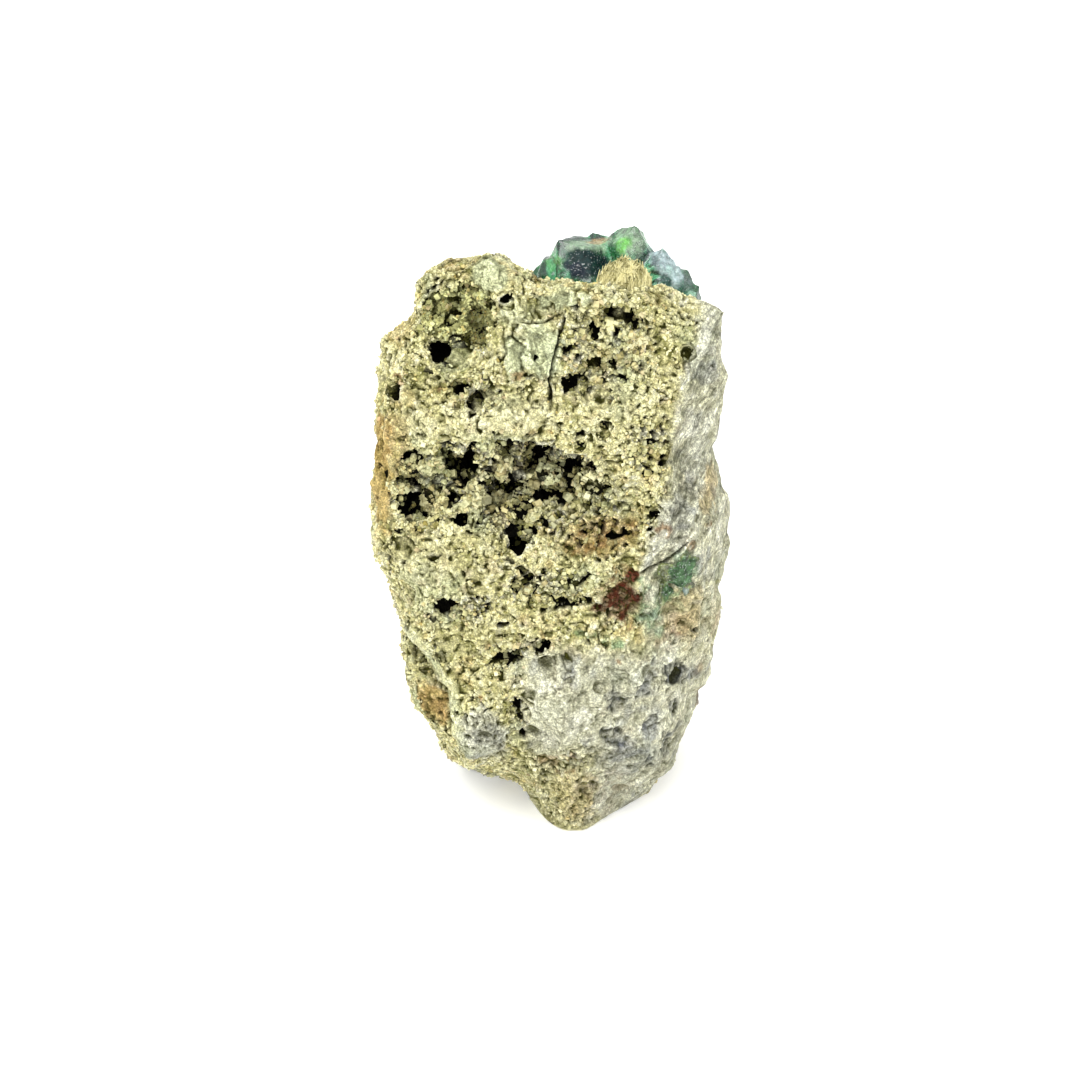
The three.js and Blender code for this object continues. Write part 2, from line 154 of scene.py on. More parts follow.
def leaned(points: np.ndarray) -> tuple[np.ndarray, np.ndarray, np.ndarray]:
    """Millimetres across, up and out of the leaned section, for places in millimetres."""
    arm = points - HUB
    return arm @ ACROSS, arm @ UPWARD, arm @ OUTWARD


# ---- Colours ----------------------------------------------------------------------------------------


def linear(red: int, green: int, blue: int) -> np.ndarray:
    """Turns a colour as seen on a screen, 0 to 255, into the light that a shader works with."""
    seen = np.array([red, green, blue]) / 255
    return np.where(seen <= 0.04045, seen / 12.92, ((seen + 0.055) / 1.055) ** 2.4)


def blend(base: np.ndarray, colour: np.ndarray, share: np.ndarray) -> np.ndarray:
    """Mixes one colour into a column of colours, by a share for each."""
    return base + (colour - base) * np.clip(share, 0, 1)[:, None]


CREAM = linear(252, 247, 196)
STRAW = linear(232, 225, 164)
OLIVE = linear(152, 150, 88)
# painted shade: the brown laid between grains, in creases and hollows, and on the undersides of grains
SHADE_UMBER = linear(66, 66, 26)
# painted shadow: the near-black of holes and deep hollows, also laid along cracks
SHADOW_BLACK = linear(15, 14, 8)
SAGE = linear(206, 214, 172)
CHALK = linear(252, 251, 232)
ASH = linear(222, 224, 208)
SLATE = linear(100, 106, 120)
RUST = linear(150, 98, 38)
WINE = linear(104, 38, 24)
MOSS = linear(176, 178, 116)
EMERALD = linear(74, 150, 100)
OCHRE = linear(216, 180, 96)
ROSE = linear(226, 190, 156)

DEEP = linear(24, 62, 52)
LEAF = linear(52, 124, 74)
BOTTLE = linear(40, 84, 54)
TEAL = linear(20, 42, 42)
NAVY = linear(22, 28, 42)
# painted glints: the bright green where light glints inside the crystals
GLINT = linear(112, 200, 78)
FROST = linear(156, 182, 150)
ICE = linear(156, 172, 176)
TAN = linear(180, 152, 112)

# the tuft's olive painted shade, for fibres set deeper in the mound, also given at random
HUSK_SHADE = linear(140, 134, 78)
FLAX = linear(240, 232, 176)


class Kind(Enum):
    """What a marked place of the front is."""

    PIT = "pit"  # a hole
    FILL = "fill"  # grains that have filled a hole of the block
    # the moss hollows' darkness is painted shade between their knobs and in dark patches
    MOSS = "moss"  # dark green hollows
    PLATE = "plate"  # smooth plates
    PORES = "pores"  # porous rock
    CRUST = "crust"  # pale crust
    RUST = "rust"
    WINE = "wine"  # the wine-red patch and its tongue
    GREY = "grey"  # weathered grey
    INK = "ink"  # dark slate spots
    GREEN = "green"  # green garnet
    OCHRE = "ochre"
    DEEP = "deep"  # the others are looks of the crystals alone
    TEAL = "teal"
    NAVY = "navy"
    GLINT = "glint"
    FROST = "frost"
    ICE = "ice"
    TAN = "tan"


@dataclass(frozen=True)
class Mark:
    """An oval place of the front, in millimetres of the leaned section, with a ragged edge."""

    kind: Kind
    at: tuple[float, float]
    half: tuple[float, float]
    turn: float = 0.0
    force: float = 1.0

    def cover(self, u: np.ndarray, v: np.ndarray, ragged: np.ndarray) -> np.ndarray:
        """How much of the mark each place has.

        Args:
            u: millimetres across, one for each place.
            v: millimetres up.
            ragged: noise from -1 to 1 that frays the edge.

        Returns:
            Shares from 0 to the mark's force.
        """
        cos, sin = math.cos(math.radians(self.turn)), math.sin(math.radians(self.turn))
        du, dv = u - self.at[0], v - self.at[1]
        away = np.hypot((du * cos + dv * sin) / self.half[0], (dv * cos - du * sin) / self.half[1])
        fray = 0.5 if min(self.half) < 0.5 else min(0.9, 0.9 / min(self.half))
        return self.force * (1 - ease(away + fray * ragged, 0.7, 1.15))


@dataclass(frozen=True)
class Seam:
    """A crack or a rim along a broken line of the front, in millimetres of the leaned section."""

    line: tuple[tuple[float, float], ...]
    width: float
    rise: float  # how far it stands out, or if negative how deep it cuts

    def cover(self, u: np.ndarray, v: np.ndarray) -> np.ndarray:
        """How close each place is to the line.

        Args:
            u: millimetres across, one for each place.
            v: millimetres up.

        Returns:
            Shares from 0 to 1.
        """
        place = np.stack([u, v], axis=1)
        away = np.full(len(u), 99.0)
        for start, end in zip(np.array(self.line), np.array(self.line)[1:]):
            span = end - start
            along = np.clip((place - start) @ span / (span @ span), 0, 1)
            away = np.minimum(away, np.linalg.norm(place - start - along[:, None] * span, axis=1))
        return 1 - ease(away, 0.35 * self.width, self.width)


def marked(kind: Kind, *rows: tuple[float, ...]) -> tuple[Mark, ...]:
    """Marks of one kind, each from its place, half widths and, where they differ, turn and force."""
    return tuple(Mark(kind, row[:2], row[2:4], *row[4:]) for row in rows)


MARKS = (
    *marked(
        Kind.PIT,
        # the main cavity under the shelf, and its offshoots
        (-5.3, 9.0, 0.9, 0.9, 30),
        (-1.2, 8.0, 4.1, 1.15, -16),
        (3.0, 7.2, 1.7, 1.0, -10, 0.7),
        (-3.4, 4.0, 2.3, 1.9, 10),
        (-2.7, 0.5, 1.4, 1.4, 60),
        (-4.0, 7.6, 1.5, 1.0, -30, 0.7),
        (-0.5, 5.5, 2.6, 1.3, -10, 0.5),
        (-2.7, -4.2, 0.75, 1.3, -20),
        (1.5, -4.2, 0.6, 0.9),
        # the cavities beside the left edge
        (-8.4, 7.3, 1.0, 1.6, -20),
        (-10.4, 8.3, 0.8, 0.45, 10),
        (-13.6, 6.1, 0.9, 0.65, 20),
        (-13.8, 3.3, 1.4, 1.3, 10),
        (-10.6, 4.0, 0.7, 1.1, -30),
        (-8.7, 2.1, 0.45, 0.65, -30),
        (-13.8, 8.0, 0.5, 0.8, -15),
        # holes of the upper left
        (-10.9, 18.6, 0.8, 1.0),
        (-7.2, 24.1, 0.3, 0.5),
        (-7.0, 21.4, 0.35, 1.6),
        (-4.4, 23.4, 0.55, 0.4, 20),
        (-1.4, 17.7, 0.25, 0.22),
        (-8.5, 14.9, 0.75, 0.45, 35),
        (-7.3, 13.5, 0.6, 0.5, 40),
        (-15.1, 14.5, 0.35, 0.7),
        # holes of the upper right
        (4.3, 20.3, 0.45, 0.6),
        (6.2, 22.0, 0.4, 0.4),
        (7.6, 21.8, 0.45, 0.4),
        (2.3, 15.5, 0.61, 1.0, -35),
        (3.2, 16.4, 0.6, 1.2, -38),
        (4.7, 17.2, 0.5, 0.6, -40),
        (8.7, 18.4, 0.4, 0.35),
        (7.5, 17.0, 0.35, 0.4),
        (5.2, 11.1, 0.6, 0.6),
        (3.0, 10.2, 0.5, 0.4, 35),
        (10.0, 9.5, 0.6, 0.4),
        (10.2, 2.4, 0.55, 0.35),
        (9.8, 1.1, 0.35, 0.25),
        # slits and holes of the lower part
        (-10.3, -6.7, 1.8, 0.4, 4),
        (-4.6, -8.5, 0.45, 0.25, 25),
        (-4.8, -11.9, 1.8, 0.45, 14),
        (-0.5, -10.7, 0.45, 0.45, 30),
        (-3.2, -16.8, 0.22, 1.0),
        (-3.1, -18.2, 0.45, 0.55),
        (-2.7, -19.7, 0.3, 0.45),
        (1.7, -6.4, 2.6, 0.5, 8),
        (14.9, -9.1, 0.35, 0.4),
        # dark green hollows of the upper left
        (-9.7, 21.2, 0.4, 0.8),
        (-12.3, 21.2, 0.3, 0.4),
        (-7.4, 23.3, 0.4, 0.3),
    ),
    *marked(
        Kind.FILL,
        (5.3, -14.8, 1.7, 1.5),
        (-1.2, 17.7, 1.4, 1.3),
        (-4.2, 23.0, 1.5, 1.4),
        (-3.0, -17.6, 1.2, 2.1),
        (-4.5, -12.0, 2.8, 1.4, 14),
        (9.6, 2.6, 1.5, 1.7),
        (2.7, -6.6, 3.6, 1.5, 6),
        (-10.0, -6.8, 2.5, 1.3, 4),
        (2.5, 15.2, 1.9, 1.5),
        (4.0, 20.3, 1.5, 1.5),
    ),
    *marked(
        Kind.PORES,
        (-2.5, 5.0, 7.5, 4.6, -12, 1.0),
        (-11.5, 4.9, 4.4, 4.4, 0, 1.0),
        (2.5, 3.0, 5.0, 3.4, 0, 0.7),
        (5.4, 19.1, 4.6, 4.8, 0, 0.75),
        (-7.4, 14.1, 3.0, 2.2, 30, 0.7),
        (0.4, -4.8, 4.6, 1.9, 5, 0.9),
        (-9.0, -6.8, 3.6, 1.2, 4, 0.7),
        (-4.2, -11.4, 3.8, 1.0, 14, 0.8),
        (-9.3, 22.4, 3.4, 3.0, 0, 0.4),
        (9.7, 8.9, 2.4, 3.0, 0, 0.6),
        (4.8, 0.7, 4.0, 1.7, 10, 0.6),
    ),
    *marked(
        Kind.MOSS,
        (-8.9, 22.0, 3.6, 3.3, 10),
    ),
    *marked(
        Kind.PLATE,
        (-0.8, 18.7, 2.3, 2.8),
        (-3.6, 18.2, 1.6, 2.2),
        (1.0, 23.3, 2.3, 1.1),
        (-5.8, 25.6, 2.1, 1.9),
        (-3.6, 21.7, 2.2, 1.7, 0, 0.6),
        (-9.4, 17.9, 1.3, 1.3, 0, 0.6),
    ),
    *marked(
        Kind.CRUST,
        (-4.9, 12.2, 5.6, 2.0, 0),
        (-13.0, 11.4, 2.4, 1.9, 0),
        (6.4, 13.3, 3.4, 2.2, 0, 0.7),
        (-12.6, -2.0, 3.0, 3.0, 0, 0.6),
    ),
    *marked(
        Kind.RUST,
        (4.4, 0.0, 3.4, 1.3, 15),
        (12.2, -8.6, 2.2, 3.0, 0, 0.45),
        (6.9, -3.6, 1.0, 1.2, -35, 0.9),
        (4.6, -7.2, 0.9, 0.5, 20, 0.9),
        (8.0, -8.3, 0.5, 1.0, -10, 0.9),
        (-15.0, 15.8, 0.6, 0.7),
        (-3.2, 15.9, 0.55, 0.6),
        (-10.7, 14.8, 0.7, 0.45, 25),
        (-1.3, 26.0, 0.4, 0.55),
        (11.3, 0.9, 1.0, 0.65),
        (14.2, -0.8, 0.65, 0.7),
        (1.0, -22.9, 1.9, 0.9, 0, 0.8),
        (6.9, -12.2, 0.3, 0.4),
        (13.0, -9.5, 0.5, 0.6),
        (-1.5, 10.4, 1.5, 0.5, 0, 0.7),
        (-9.7, 27.1, 1.0, 0.8, 0, 0.5),
        (10.5, 23.7, 0.9, 1.0, 0, 0.5),
        (16.5, 1.6, 0.5, 0.5),
        (-7.1, -15.9, 0.6, 0.5),
        (6.4, -5.8, 3.1, 2.4, 20, 0.5),
        (-16.3, 10.3, 1.5, 3.0, 0, 0.5),
        (-11.7, -17.8, 1.2, 2.4, 20, 0.6),
        (5.7, -25.7, 3.5, 2.0, 0, 0.35),
        (-11.4, -16.1, 0.9, 2.0, 20, 0.7),
    ),
    *marked(
        Kind.OCHRE,
        (4.8, 0.5, 4.2, 2.0, 10, 0.65),
        (-17.0, 7.4, 1.5, 7.5),
        (-15.4, 9.4, 2.2, 4.5, 0, 0.6),
        (16.4, 5.3, 1.0, 3.3, -8, 0.55),
        (-11.9, -16.7, 1.4, 3.2, 20, 0.9),
        (2.3, -26.6, 2.8, 3.1, 0, 0.35),
        (13.6, -7.4, 2.2, 3.4, 0, 0.5),
        (-15.0, 21.0, 1.5, 2.3, 0, 0.5),
    ),
    *marked(
        Kind.WINE,
        (6.9, -6.2, 2.5, 1.8, 10),
        (4.8, -6.8, 1.1, 0.55, 10),
        (8.0, -3.8, 0.6, 1.0, -35),
    ),
    *marked(
        Kind.GREY,
        (4.2, -13.8, 4.8, 2.8, 0, 0.8),
        (5.1, -19.1, 4.0, 3.0, 0, 0.7),
        (-6.6, -19.9, 3.0, 3.2, 0, 0.8),
        (12.6, 2.0, 2.3, 4.0, -20, 0.9),
        (14.9, 8.8, 1.6, 5.0, -10, 0.9),
        (-2.0, -12.5, 3.0, 2.5, 0, 0.5),
        (11.9, -7.9, 3.0, 6.0, 0, 0.6),
    ),
    *marked(
        Kind.INK,
        (6.6, -16.3, 1.1, 1.3),
        (9.7, -15.1, 0.9, 1.1, -30),
        (13.5, -13.7, 1.7, 1.2),
        (12.9, -17.0, 0.6, 1.0),
        (6.8, -20.1, 2.0, 0.9, -12),
        (12.4, -20.8, 0.7, 1.4),
        (10.2, -23.0, 0.7, 0.9, -20),
        (1.6, -13.1, 0.9, 1.3, 0, 0.7),
        (-6.3, -19.9, 1.8, 1.3, 0, 0.6),
        (10.9, -18.9, 1.2, 0.7, 30, 0.8),
        (3.1, -22.6, 1.5, 0.7, 0, 0.8),
        (8.0, -23.4, 0.5, 1.0, 0, 0.6),
        (3.7, -25.7, 1.2, 0.6, 20, 0.5),
        (7.6, -22.2, 4.5, 2.6, 0, 0.45),
        (13.6, 4.2, 1.2, 3.0, -22, 0.6),
    ),
    *marked(
        Kind.GREEN,
        (12.8, -3.5, 1.9, 2.8, -15, 0.8),
        (9.3, -5.1, 0.7, 1.0),
        (3.7, -9.8, 1.2, 0.7, 0, 0.9),
        (6.5, -10.4, 1.1, 0.8, 0, 0.9),
        (10.0, -7.8, 1.5, 2.3, 0, 0.8),
        (12.8, -6.6, 1.6, 0.8, 0, 0.4),
    ),
)

CREST = (
    # how the crystals along the crest look from the front
    Mark(Kind.FROST, (3.4, 29.1), (2.7, 0.7), 0, 0.8),
    Mark(Kind.FROST, (7.9, 29.7), (1.9, 1.6), 0, 0.7),
    Mark(Kind.TEAL, (3.6, 27.4), (2.9, 1.6), -8),
    Mark(Kind.NAVY, (2.4, 26.9), (1.2, 0.7), -20, 0.8),
    # painted glints of light inside the crystals, on the left face and on the peak
    Mark(Kind.GLINT, (0.4, 27.7), (0.8, 0.9), 0, 0.35),
    Mark(Kind.GLINT, (7.2, 29.4), (0.9, 0.9), 0, 0.75),
    Mark(Kind.TAN, (4.8, 29.8), (1.1, 0.4), 10, 0.8),
    Mark(Kind.ICE, (11.6, 27.2), (1.4, 2.8), 40, 0.9),
    Mark(Kind.DEEP, (11.5, 25.8), (0.6, 0.7), 0, 0.9),
    Mark(Kind.NAVY, (10.5, 27.7), (0.5, 0.8), 20, 0.5),
    Mark(Kind.DEEP, (13.3, 24.8), (0.5, 0.9), 30, 0.6),
    # how the crystals in the rock look
    Mark(Kind.MOSS, (13.2, -4.2), (4.5, 4.5), 0, 0.55),
    Mark(Kind.GREEN, (13.3, -3.2), (1.4, 2.1), -30, 0.85),
    Mark(Kind.GREEN, (11.9, -5.1), (0.9, 1.0), 0, 0.8),
    Mark(Kind.ICE, (13.4, -5.1), (0.7, 0.4), 0, 0.5),
)

# where the granular front gives way to the fibrous break on the right: millimetres up, and across
BRINK = ((-0.2, 9.0), (3.4, 11.2), (6.9, 11.6), (13.0, 12.3), (18.4, 13.6), (21.4, 14.6))

# how far the front stands out of the leaned section: millimetres up, and out
FRONT = ((-30, -3), (-26, 1), (-22, 4.5), (-18, 7), (-10, 9), (-2, 11), (6, 13), (14, 16.5), (22, 18))

# rounded tops of the rock's upper edge: millimetres across, half width, and rise
KNOLLS = ((-6.5, 2.4, 0.7), (-10.7, 1.7, 0.55))

SEAMS = (
    Seam(((1.2, 21.5), (1.0, 19.4), (0.6, 17.3), (0.2, 15.1), (-0.2, 13.4)), 0.23, -0.7),
    Seam(((13.8, -0.3), (12.5, -1.6), (10.9, -2.6), (9.4, -3.3)), 0.18, -0.4),
    Seam(((-3.2, 20.8), (-3.8, 19.7), (-2.5, 18.7), (-3.0, 17.7), (-2.7, 16.5)), 0.2, -0.3),
    Seam(((-4.7, 20.6), (-4.6, 19.5), (-4.3, 18.1), (-4.9, 17.3)), 0.2, -0.25),
    Seam(((1.4, 22.0), (-0.4, 21.4), (-2.6, 21.2)), 0.18, -0.3),
    Seam(
        (
            (-14.4, -9.1),
            (-12.4, -11.1),
            (-11.3, -13.7),
            (-9.8, -14.7),
            (-9.8, -17.0),
            (-9.5, -19.6),
            (-8.4, -21.8),
        ),
        0.75,
        0.35,
    ),
)


SLIT_MM = 0.62  # a pit whose half width is less than this is cut cleanly, as a slit
PILLAR_MM = 0.5  # and columns of crumbs stand only in pits of at least this half width
FRONT_DEPTHS_MM = (7.0, 11.0)  # between these depths behind the broad front, its marks fade out

KNOB_MM = 0.88  # how wide the rock's crumbs are
BEAD_MM = 0.5  # and the smaller crumbs on them
PLATE_MM = 2.7  # how wide the small facets of smooth places are
PLATE_STRETCH = np.array([1.0, 0.5, 0.75])
GONE = (-0.02, 0.06)  # how sharply a missing crumb is told from the others


def below_front(v: np.ndarray, w: np.ndarray) -> np.ndarray:
    """How far places lie behind the broad front, in millimetres."""
    return np.interp(v, *np.array(FRONT).T) - w


def pillars(u: np.ndarray, v: np.ndarray) -> np.ndarray:
    """Shares from 0 to 1 of how much a column of crumbs stands at each place of a cavity."""
    place = np.stack([u, v, 0 * u], axis=1)
    return ease(mottle(place, (0.65, 43), (0.33, 49), 0.6), 0.35, 0.6)


@dataclass
class Ground:
    """Everything that the rock's surface is at a set of places: marks, grain and colour."""

    points: np.ndarray  # millimetres, on the block before its relief is laid on

    def __post_init__(self) -> None:
        """Works out how much of each kind of mark every place has."""
        self.u, self.v, self.w = leaned(self.points)
        self.facing = 1 - ease(below_front(self.v, self.w), *FRONT_DEPTHS_MM)
        behind = 1 - self.facing
        layers = ((1.7, 0.45), (0.8, 0.45), (0.4, 0.35))
        ragged = sum(drift(self.points, size, 5) * share for size, share in layers)
        self.share = {kind: np.zeros(len(self.points)) for kind in Kind}
        self.lay_marks(ragged)
        self.weather(behind)
        self.wear(ragged)
        self.crumble(behind)
        self.rim_line = self.lined(rising=True)
        share = self.share
        flat = [0.85 * share[Kind.PLATE], 0.97 * self.streaky, 0.85 * self.worn, 0.5 * share[Kind.CRUST]]
        flat += [0.6 * share[Kind.GREY], 0.6 * share[Kind.OCHRE], 0.9 * self.rim_line]
        self.smooth = np.clip(np.maximum.reduce(flat) * (1 - share[Kind.PIT]), 0, 1)
        loose = np.maximum(share[Kind.PORES], share[Kind.MOSS])
        self.grainy = (0.25 + 0.75 * np.maximum(loose, 0.5 * behind)) * (1 - self.smooth)

    def add(self, kind: Kind, amount: np.ndarray) -> None:
        """Gives each place at least this much of a kind."""
        self.share[kind] = np.maximum(self.share[kind], amount)

    def lay_marks(self, ragged: np.ndarray) -> None:
        """Lays on the front's marks, some of them speckled or webbed.

        Args:
            ragged: noise from -1 to 1 that frays their edges.
        """
        speckle = ease(mottle(self.points, (0.6, 38), (0.3, 39)), -0.45, 0.3)
        webbed = 1 - ease(np.abs(drift(self.points, 0.75, 42)), 0.08, 0.4)
        weave = {
            Kind.RUST: 0.15 + 0.85 * speckle,
            Kind.GREEN: 0.15 + 0.85 * speckle,
            Kind.WINE: 0.7 + 0.3 * speckle,
            Kind.INK: 0.45 + 0.55 * webbed,
        }
        self.slit, self.cave = np.zeros(len(self.points)), np.zeros(len(self.points))
        stood = pillars(self.u, self.v)
        for mark in MARKS:
            cover = mark.cover(self.u, self.v, ragged) * self.facing
            if mark.kind is Kind.PIT:
                self.cave = np.maximum(self.cave, cover)
                if min(mark.half) >= PILLAR_MM:
                    cover = cover * (1 - 0.85 * stood)
                if min(mark.half) < SLIT_MM:
                    self.slit = np.maximum(self.slit, cover)
                    continue
            self.add(mark.kind, cover * weave.get(mark.kind, 1.0))

    def wear(self, ragged: np.ndarray) -> None:
        """Finds the fibrous break on the right and the weathered foot, and pales them.

        Args:
            ragged: noise from -1 to 1 that frays their edges.
        """
        brink = np.interp(self.v, *np.array(BRINK).T) + 0.8 * ragged
        side = ease(self.u - brink, -0.5, 1.0) * ease(self.v, -7.0, -3.0)
        self.streaky = side * (0.4 + 0.6 * ease(self.w, -9.0, -3.0))
        self.add(Kind.GREY, 0.75 * self.streaky)
        worn = ease(-self.v, 9.5, 12.5) * ease(self.u + 0.5 * ragged, -3.5, -1.5)
        worn *= 1 - 0.8 * ease(-self.v, 20.5, 23.0) * ease(5.0 - self.u + 1.5 * ragged, -1.0, 2.0)
        link = ease(self.u + 0.6 * ragged, 8.5, 11.0) * ease(-self.v, 2.0, 5.0)
        self.worn = np.maximum(worn, 0.8 * link) * ease(self.w, -13.0, -8.0)
        self.add(Kind.GREY, 0.8 * self.worn)

    def weather(self, behind: np.ndarray) -> None:
        """Adds rusty and pale places to the sides and the back, which the front's marks do not reach.

        Args:
            behind: shares from 0 on the front to 1 on the back.
        """
        stain = mottle(self.points, (5.5, 21), (1.6, 22))
        paling = mottle(self.points, (7.5, 23), (2.0, 24), 0.4)
        opening = mottle(self.points, (6.5, 29), (2.4, 30))
        self.add(Kind.RUST, behind * (ease(stain, 0.55, 0.95) * 0.7))
        self.add(Kind.GREY, behind * (ease(paling, 0.0, 0.6) * 0.8))
        self.add(Kind.PORES, behind * (ease(opening, 0.2, 0.7) * 0.7))

    def bent(self, reach_mm: float, size: float, seeds: range) -> np.ndarray:
        """The places, pushed about so that grains and plates are not all round.

        Args:
            reach_mm: how far they are pushed.
            size: how wide the lumps of the pushing noise are, in millimetres.
            seeds: the noise's seeds, one for each axis.

        Returns:
            Places in millimetres.
        """
        return self.points + reach_mm * np.stack([drift(self.points, size, seed) for seed in seeds], axis=1)

    def crumble(self, behind: np.ndarray) -> None:
        """Packs the rock from knobs and beads, some of which are missing.

        Args:
            behind: shares from 0 on the front to 1 on the back.
        """
        bent = self.bent(0.22, 0.7, range(33, 36))
        self.knob, _, self.lot = pebbling(bent, KNOB_MM, 51)
        self.bead, _, lesser = pebbling(bent, BEAD_MM, 55)
        self.crease = 1 - ease(np.abs(mottle(bent, (1.05, 57), (0.45, 58))), 0.02, 0.24)
        self.crease *= ease(drift(bent, 1.6, 60), -0.6, 0.3)
        self.curl = drift(bent, 0.62, 59)
        plate, pores, pit = (self.share[kind] for kind in (Kind.PLATE, Kind.PORES, Kind.PIT))
        solid = 1 - np.maximum.reduce([0.7 * plate, 0.95 * self.worn, 0.9 * self.streaky])
        knobs = (0.01 + 0.16 * pores + 0.75 * pit) * solid
        beads = (0.035 + 0.32 * pores + 0.9 * pit) * solid
        gone = np.maximum(ease(knobs - self.lot, *GONE), 0.8 * ease(beads - lesser, *GONE))
        gone = np.maximum(gone, self.slit)
        self.share[Kind.PIT] = gone * (1 - 0.3 * behind)
        warped = self.bent(0.5, 1.3, range(73, 76))
        near, next_one, self.level = pebbling(warped * PLATE_STRETCH, PLATE_MM, 71)
        self.rim = 1 - ease(next_one - near, 0.02, 0.12)  # along the edges of the plates

    def lined(self, rising: bool) -> np.ndarray:
        """How close each place is to a rim or a crack.

        Args:
            rising: whether rims are meant, and not cracks.

        Returns:
            Shares from 0 to 1.
        """
        kept = [seam for seam in SEAMS if (seam.rise > 0) == rising]
        lines = [seam.cover(self.u, self.v) * min(1.0, abs(seam.rise) / 0.6) for seam in kept]
        return np.maximum.reduce(lines) * self.facing

    def streaks(self) -> np.ndarray:
        """Noise drawn out along the fibres of the right side.

        Returns:
            One number from -1 to 1 for each place.
        """
        along, across = 0.5 * self.u + 0.87 * self.v, 0.87 * self.u - 0.5 * self.v
        coarse = drift(np.stack([across / 0.55, along / 5.0, self.w / 1.5], axis=1), 1.0, 27)
        return 0.6 * coarse + 0.4 * drift(np.stack([across / 0.25, along / 2.5, self.w], axis=1), 1.0, 28)

    def colour(self, light: np.ndarray) -> np.ndarray:
        """The rock's colour.

        Args:
            light: from 0 for the darkest grains to 1 for the palest, one for each place.

        Returns:
            One linear colour for each place.
        """
        tone = blend(np.tile(OLIVE, (len(light), 1)), STRAW, ease(light, 0.0, 0.5))
        tone = blend(tone, CREAM, ease(light, 0.4, 0.8))
        tone = blend(tone, CHALK, ease(light, 0.85, 1.0) * 0.5)
        shade = (0.35 + 0.75 * light)[:, None]
        greener = mottle(self.points, (3.4, 31), (1.1, 32))
        tone = blend(tone, SAGE, ease(greener, 0.1, 0.9) * 0.5)
        rosy = mottle(self.points, (0.8, 40), (3.0, 44))
        tone = blend(tone, ROSE * shade * 1.1, ease(rosy, 0.4, 0.9) * 0.22)
        yellowed = mottle(self.points, (0.9, 45), (4.0, 46))
        tone = blend(tone, OCHRE * shade * 1.1, ease(yellowed, 0.4, 0.9) * 0.35)
        for kind, hue, strength in (
            (Kind.CRUST, CREAM * 1.2, 0.5),
            (Kind.PLATE, SAGE * 1.45, 0.75),
            (Kind.GREY, ASH * 0.98, 0.85),
            (Kind.OCHRE, OCHRE, 0.75),
            (Kind.RUST, RUST, 0.7),
            (Kind.WINE, WINE, 0.95),
            (Kind.MOSS, MOSS * 1.5, 0.7),
            (Kind.INK, SLATE * 0.75, 0.85),
            (Kind.GREEN, EMERALD, 0.7),
        ):
            tone = blend(tone, hue * shade, self.share[kind] * strength)
        mottled = mottle(self.points, (2.6, 36), (0.9, 37), 0.6)
        tone = blend(tone, SLATE * shade * 1.5, ease(mottled, 0.2, 0.8) * 0.5 * self.share[Kind.GREY])
        tone = blend(tone, CHALK * shade * 1.2, ease(-mottled, 0.2, 0.8) * 0.5 * self.share[Kind.GREY])
        tone = blend(tone, SAGE * 1.1, 0.6 * self.rim_line)
        core = ease(mottle(self.points, (0.7, 47), (0.35, 48), 0.4), -0.1, 0.4)
        return blend(tone, WINE * 0.45, 0.8 * core * self.share[Kind.WINE])


# ---- Mesh tools -------------------------------------------------------------------------------------


def placed(name: str, data: bpy.types.ID) -> bpy.types.Object:
    """Puts a mesh, a light or a camera into the scene.

    Args:
        name: the new object's name.
        data: what it shows.

    Returns:
        The new object.
    """
    new = bpy.data.objects.new(name, data)
    bpy.context.scene.collection.objects.link(new)
    return new


def settled(raw: bpy.types.Object) -> bpy.types.Mesh:
    """Applies an object's modifiers and takes the object away.

    Args:
        raw: the object.

    Returns:
        The mesh that its modifiers make.
    """
    ready = raw.evaluated_get(bpy.context.evaluated_depsgraph_get())
    mesh = bpy.data.meshes.new_from_object(ready)
    bpy.data.objects.remove(raw)
    return mesh


def merged_copy(node: str) -> bpy.types.Mesh:
    """A copy of a CAD node's mesh with its corners joined.

    Args:
        node: the CAD node's name.

    Returns:
        The new mesh.
    """
    shape = bmesh.new()
    shape.from_mesh(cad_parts[node].data)
    bmesh.ops.remove_doubles(shape, verts=shape.verts, dist=1e-6)
    mesh = bpy.data.meshes.new(node + "_copy")
    shape.to_mesh(mesh)
    shape.free()
    return mesh


def show(name: str, mesh: bpy.types.Mesh, material: bpy.types.Material) -> bpy.types.Object:
    """Puts a finished mesh into the scene.

    Args:
        name: the piece's name.
        mesh: its mesh, in place, in metres.
        material: its finish.

    Returns:
        The new object, riding on the specimen.
    """
    mesh.name = name
    piece = placed(name, mesh)
    mesh.materials.clear()
    mesh.materials.append(material)
    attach(piece, "root")
    log.info("%s: %d faces", name, len(mesh.polygons))
    return piece


def triples(items: bpy.types.bpy_prop_collection, what: str) -> np.ndarray:
    """Reads three numbers from each item of a mesh's list.

    Args:
        items: the list.
        what: the name of the numbers.

    Returns:
        One row for each item.
    """
    flat = np.empty(3 * len(items), np.float32)
    items.foreach_get(what, flat)
    return flat.reshape(-1, 3).astype(float)


def corners(mesh: bpy.types.Mesh) -> np.ndarray:
    """The places of a mesh's corners, in millimetres."""
    return triples(mesh.vertices, "co") / MM


def facings(mesh: bpy.types.Mesh) -> np.ndarray:
    """The normals at a mesh's corners."""
    return triples(mesh.vertex_normals, "vector")


def move(mesh: bpy.types.Mesh, spots: np.ndarray) -> None:
    """Moves a mesh's corners to new places, in millimetres."""
    mesh.vertices.foreach_set("co", (spots * MM).astype(np.float32).ravel())
    mesh.update()


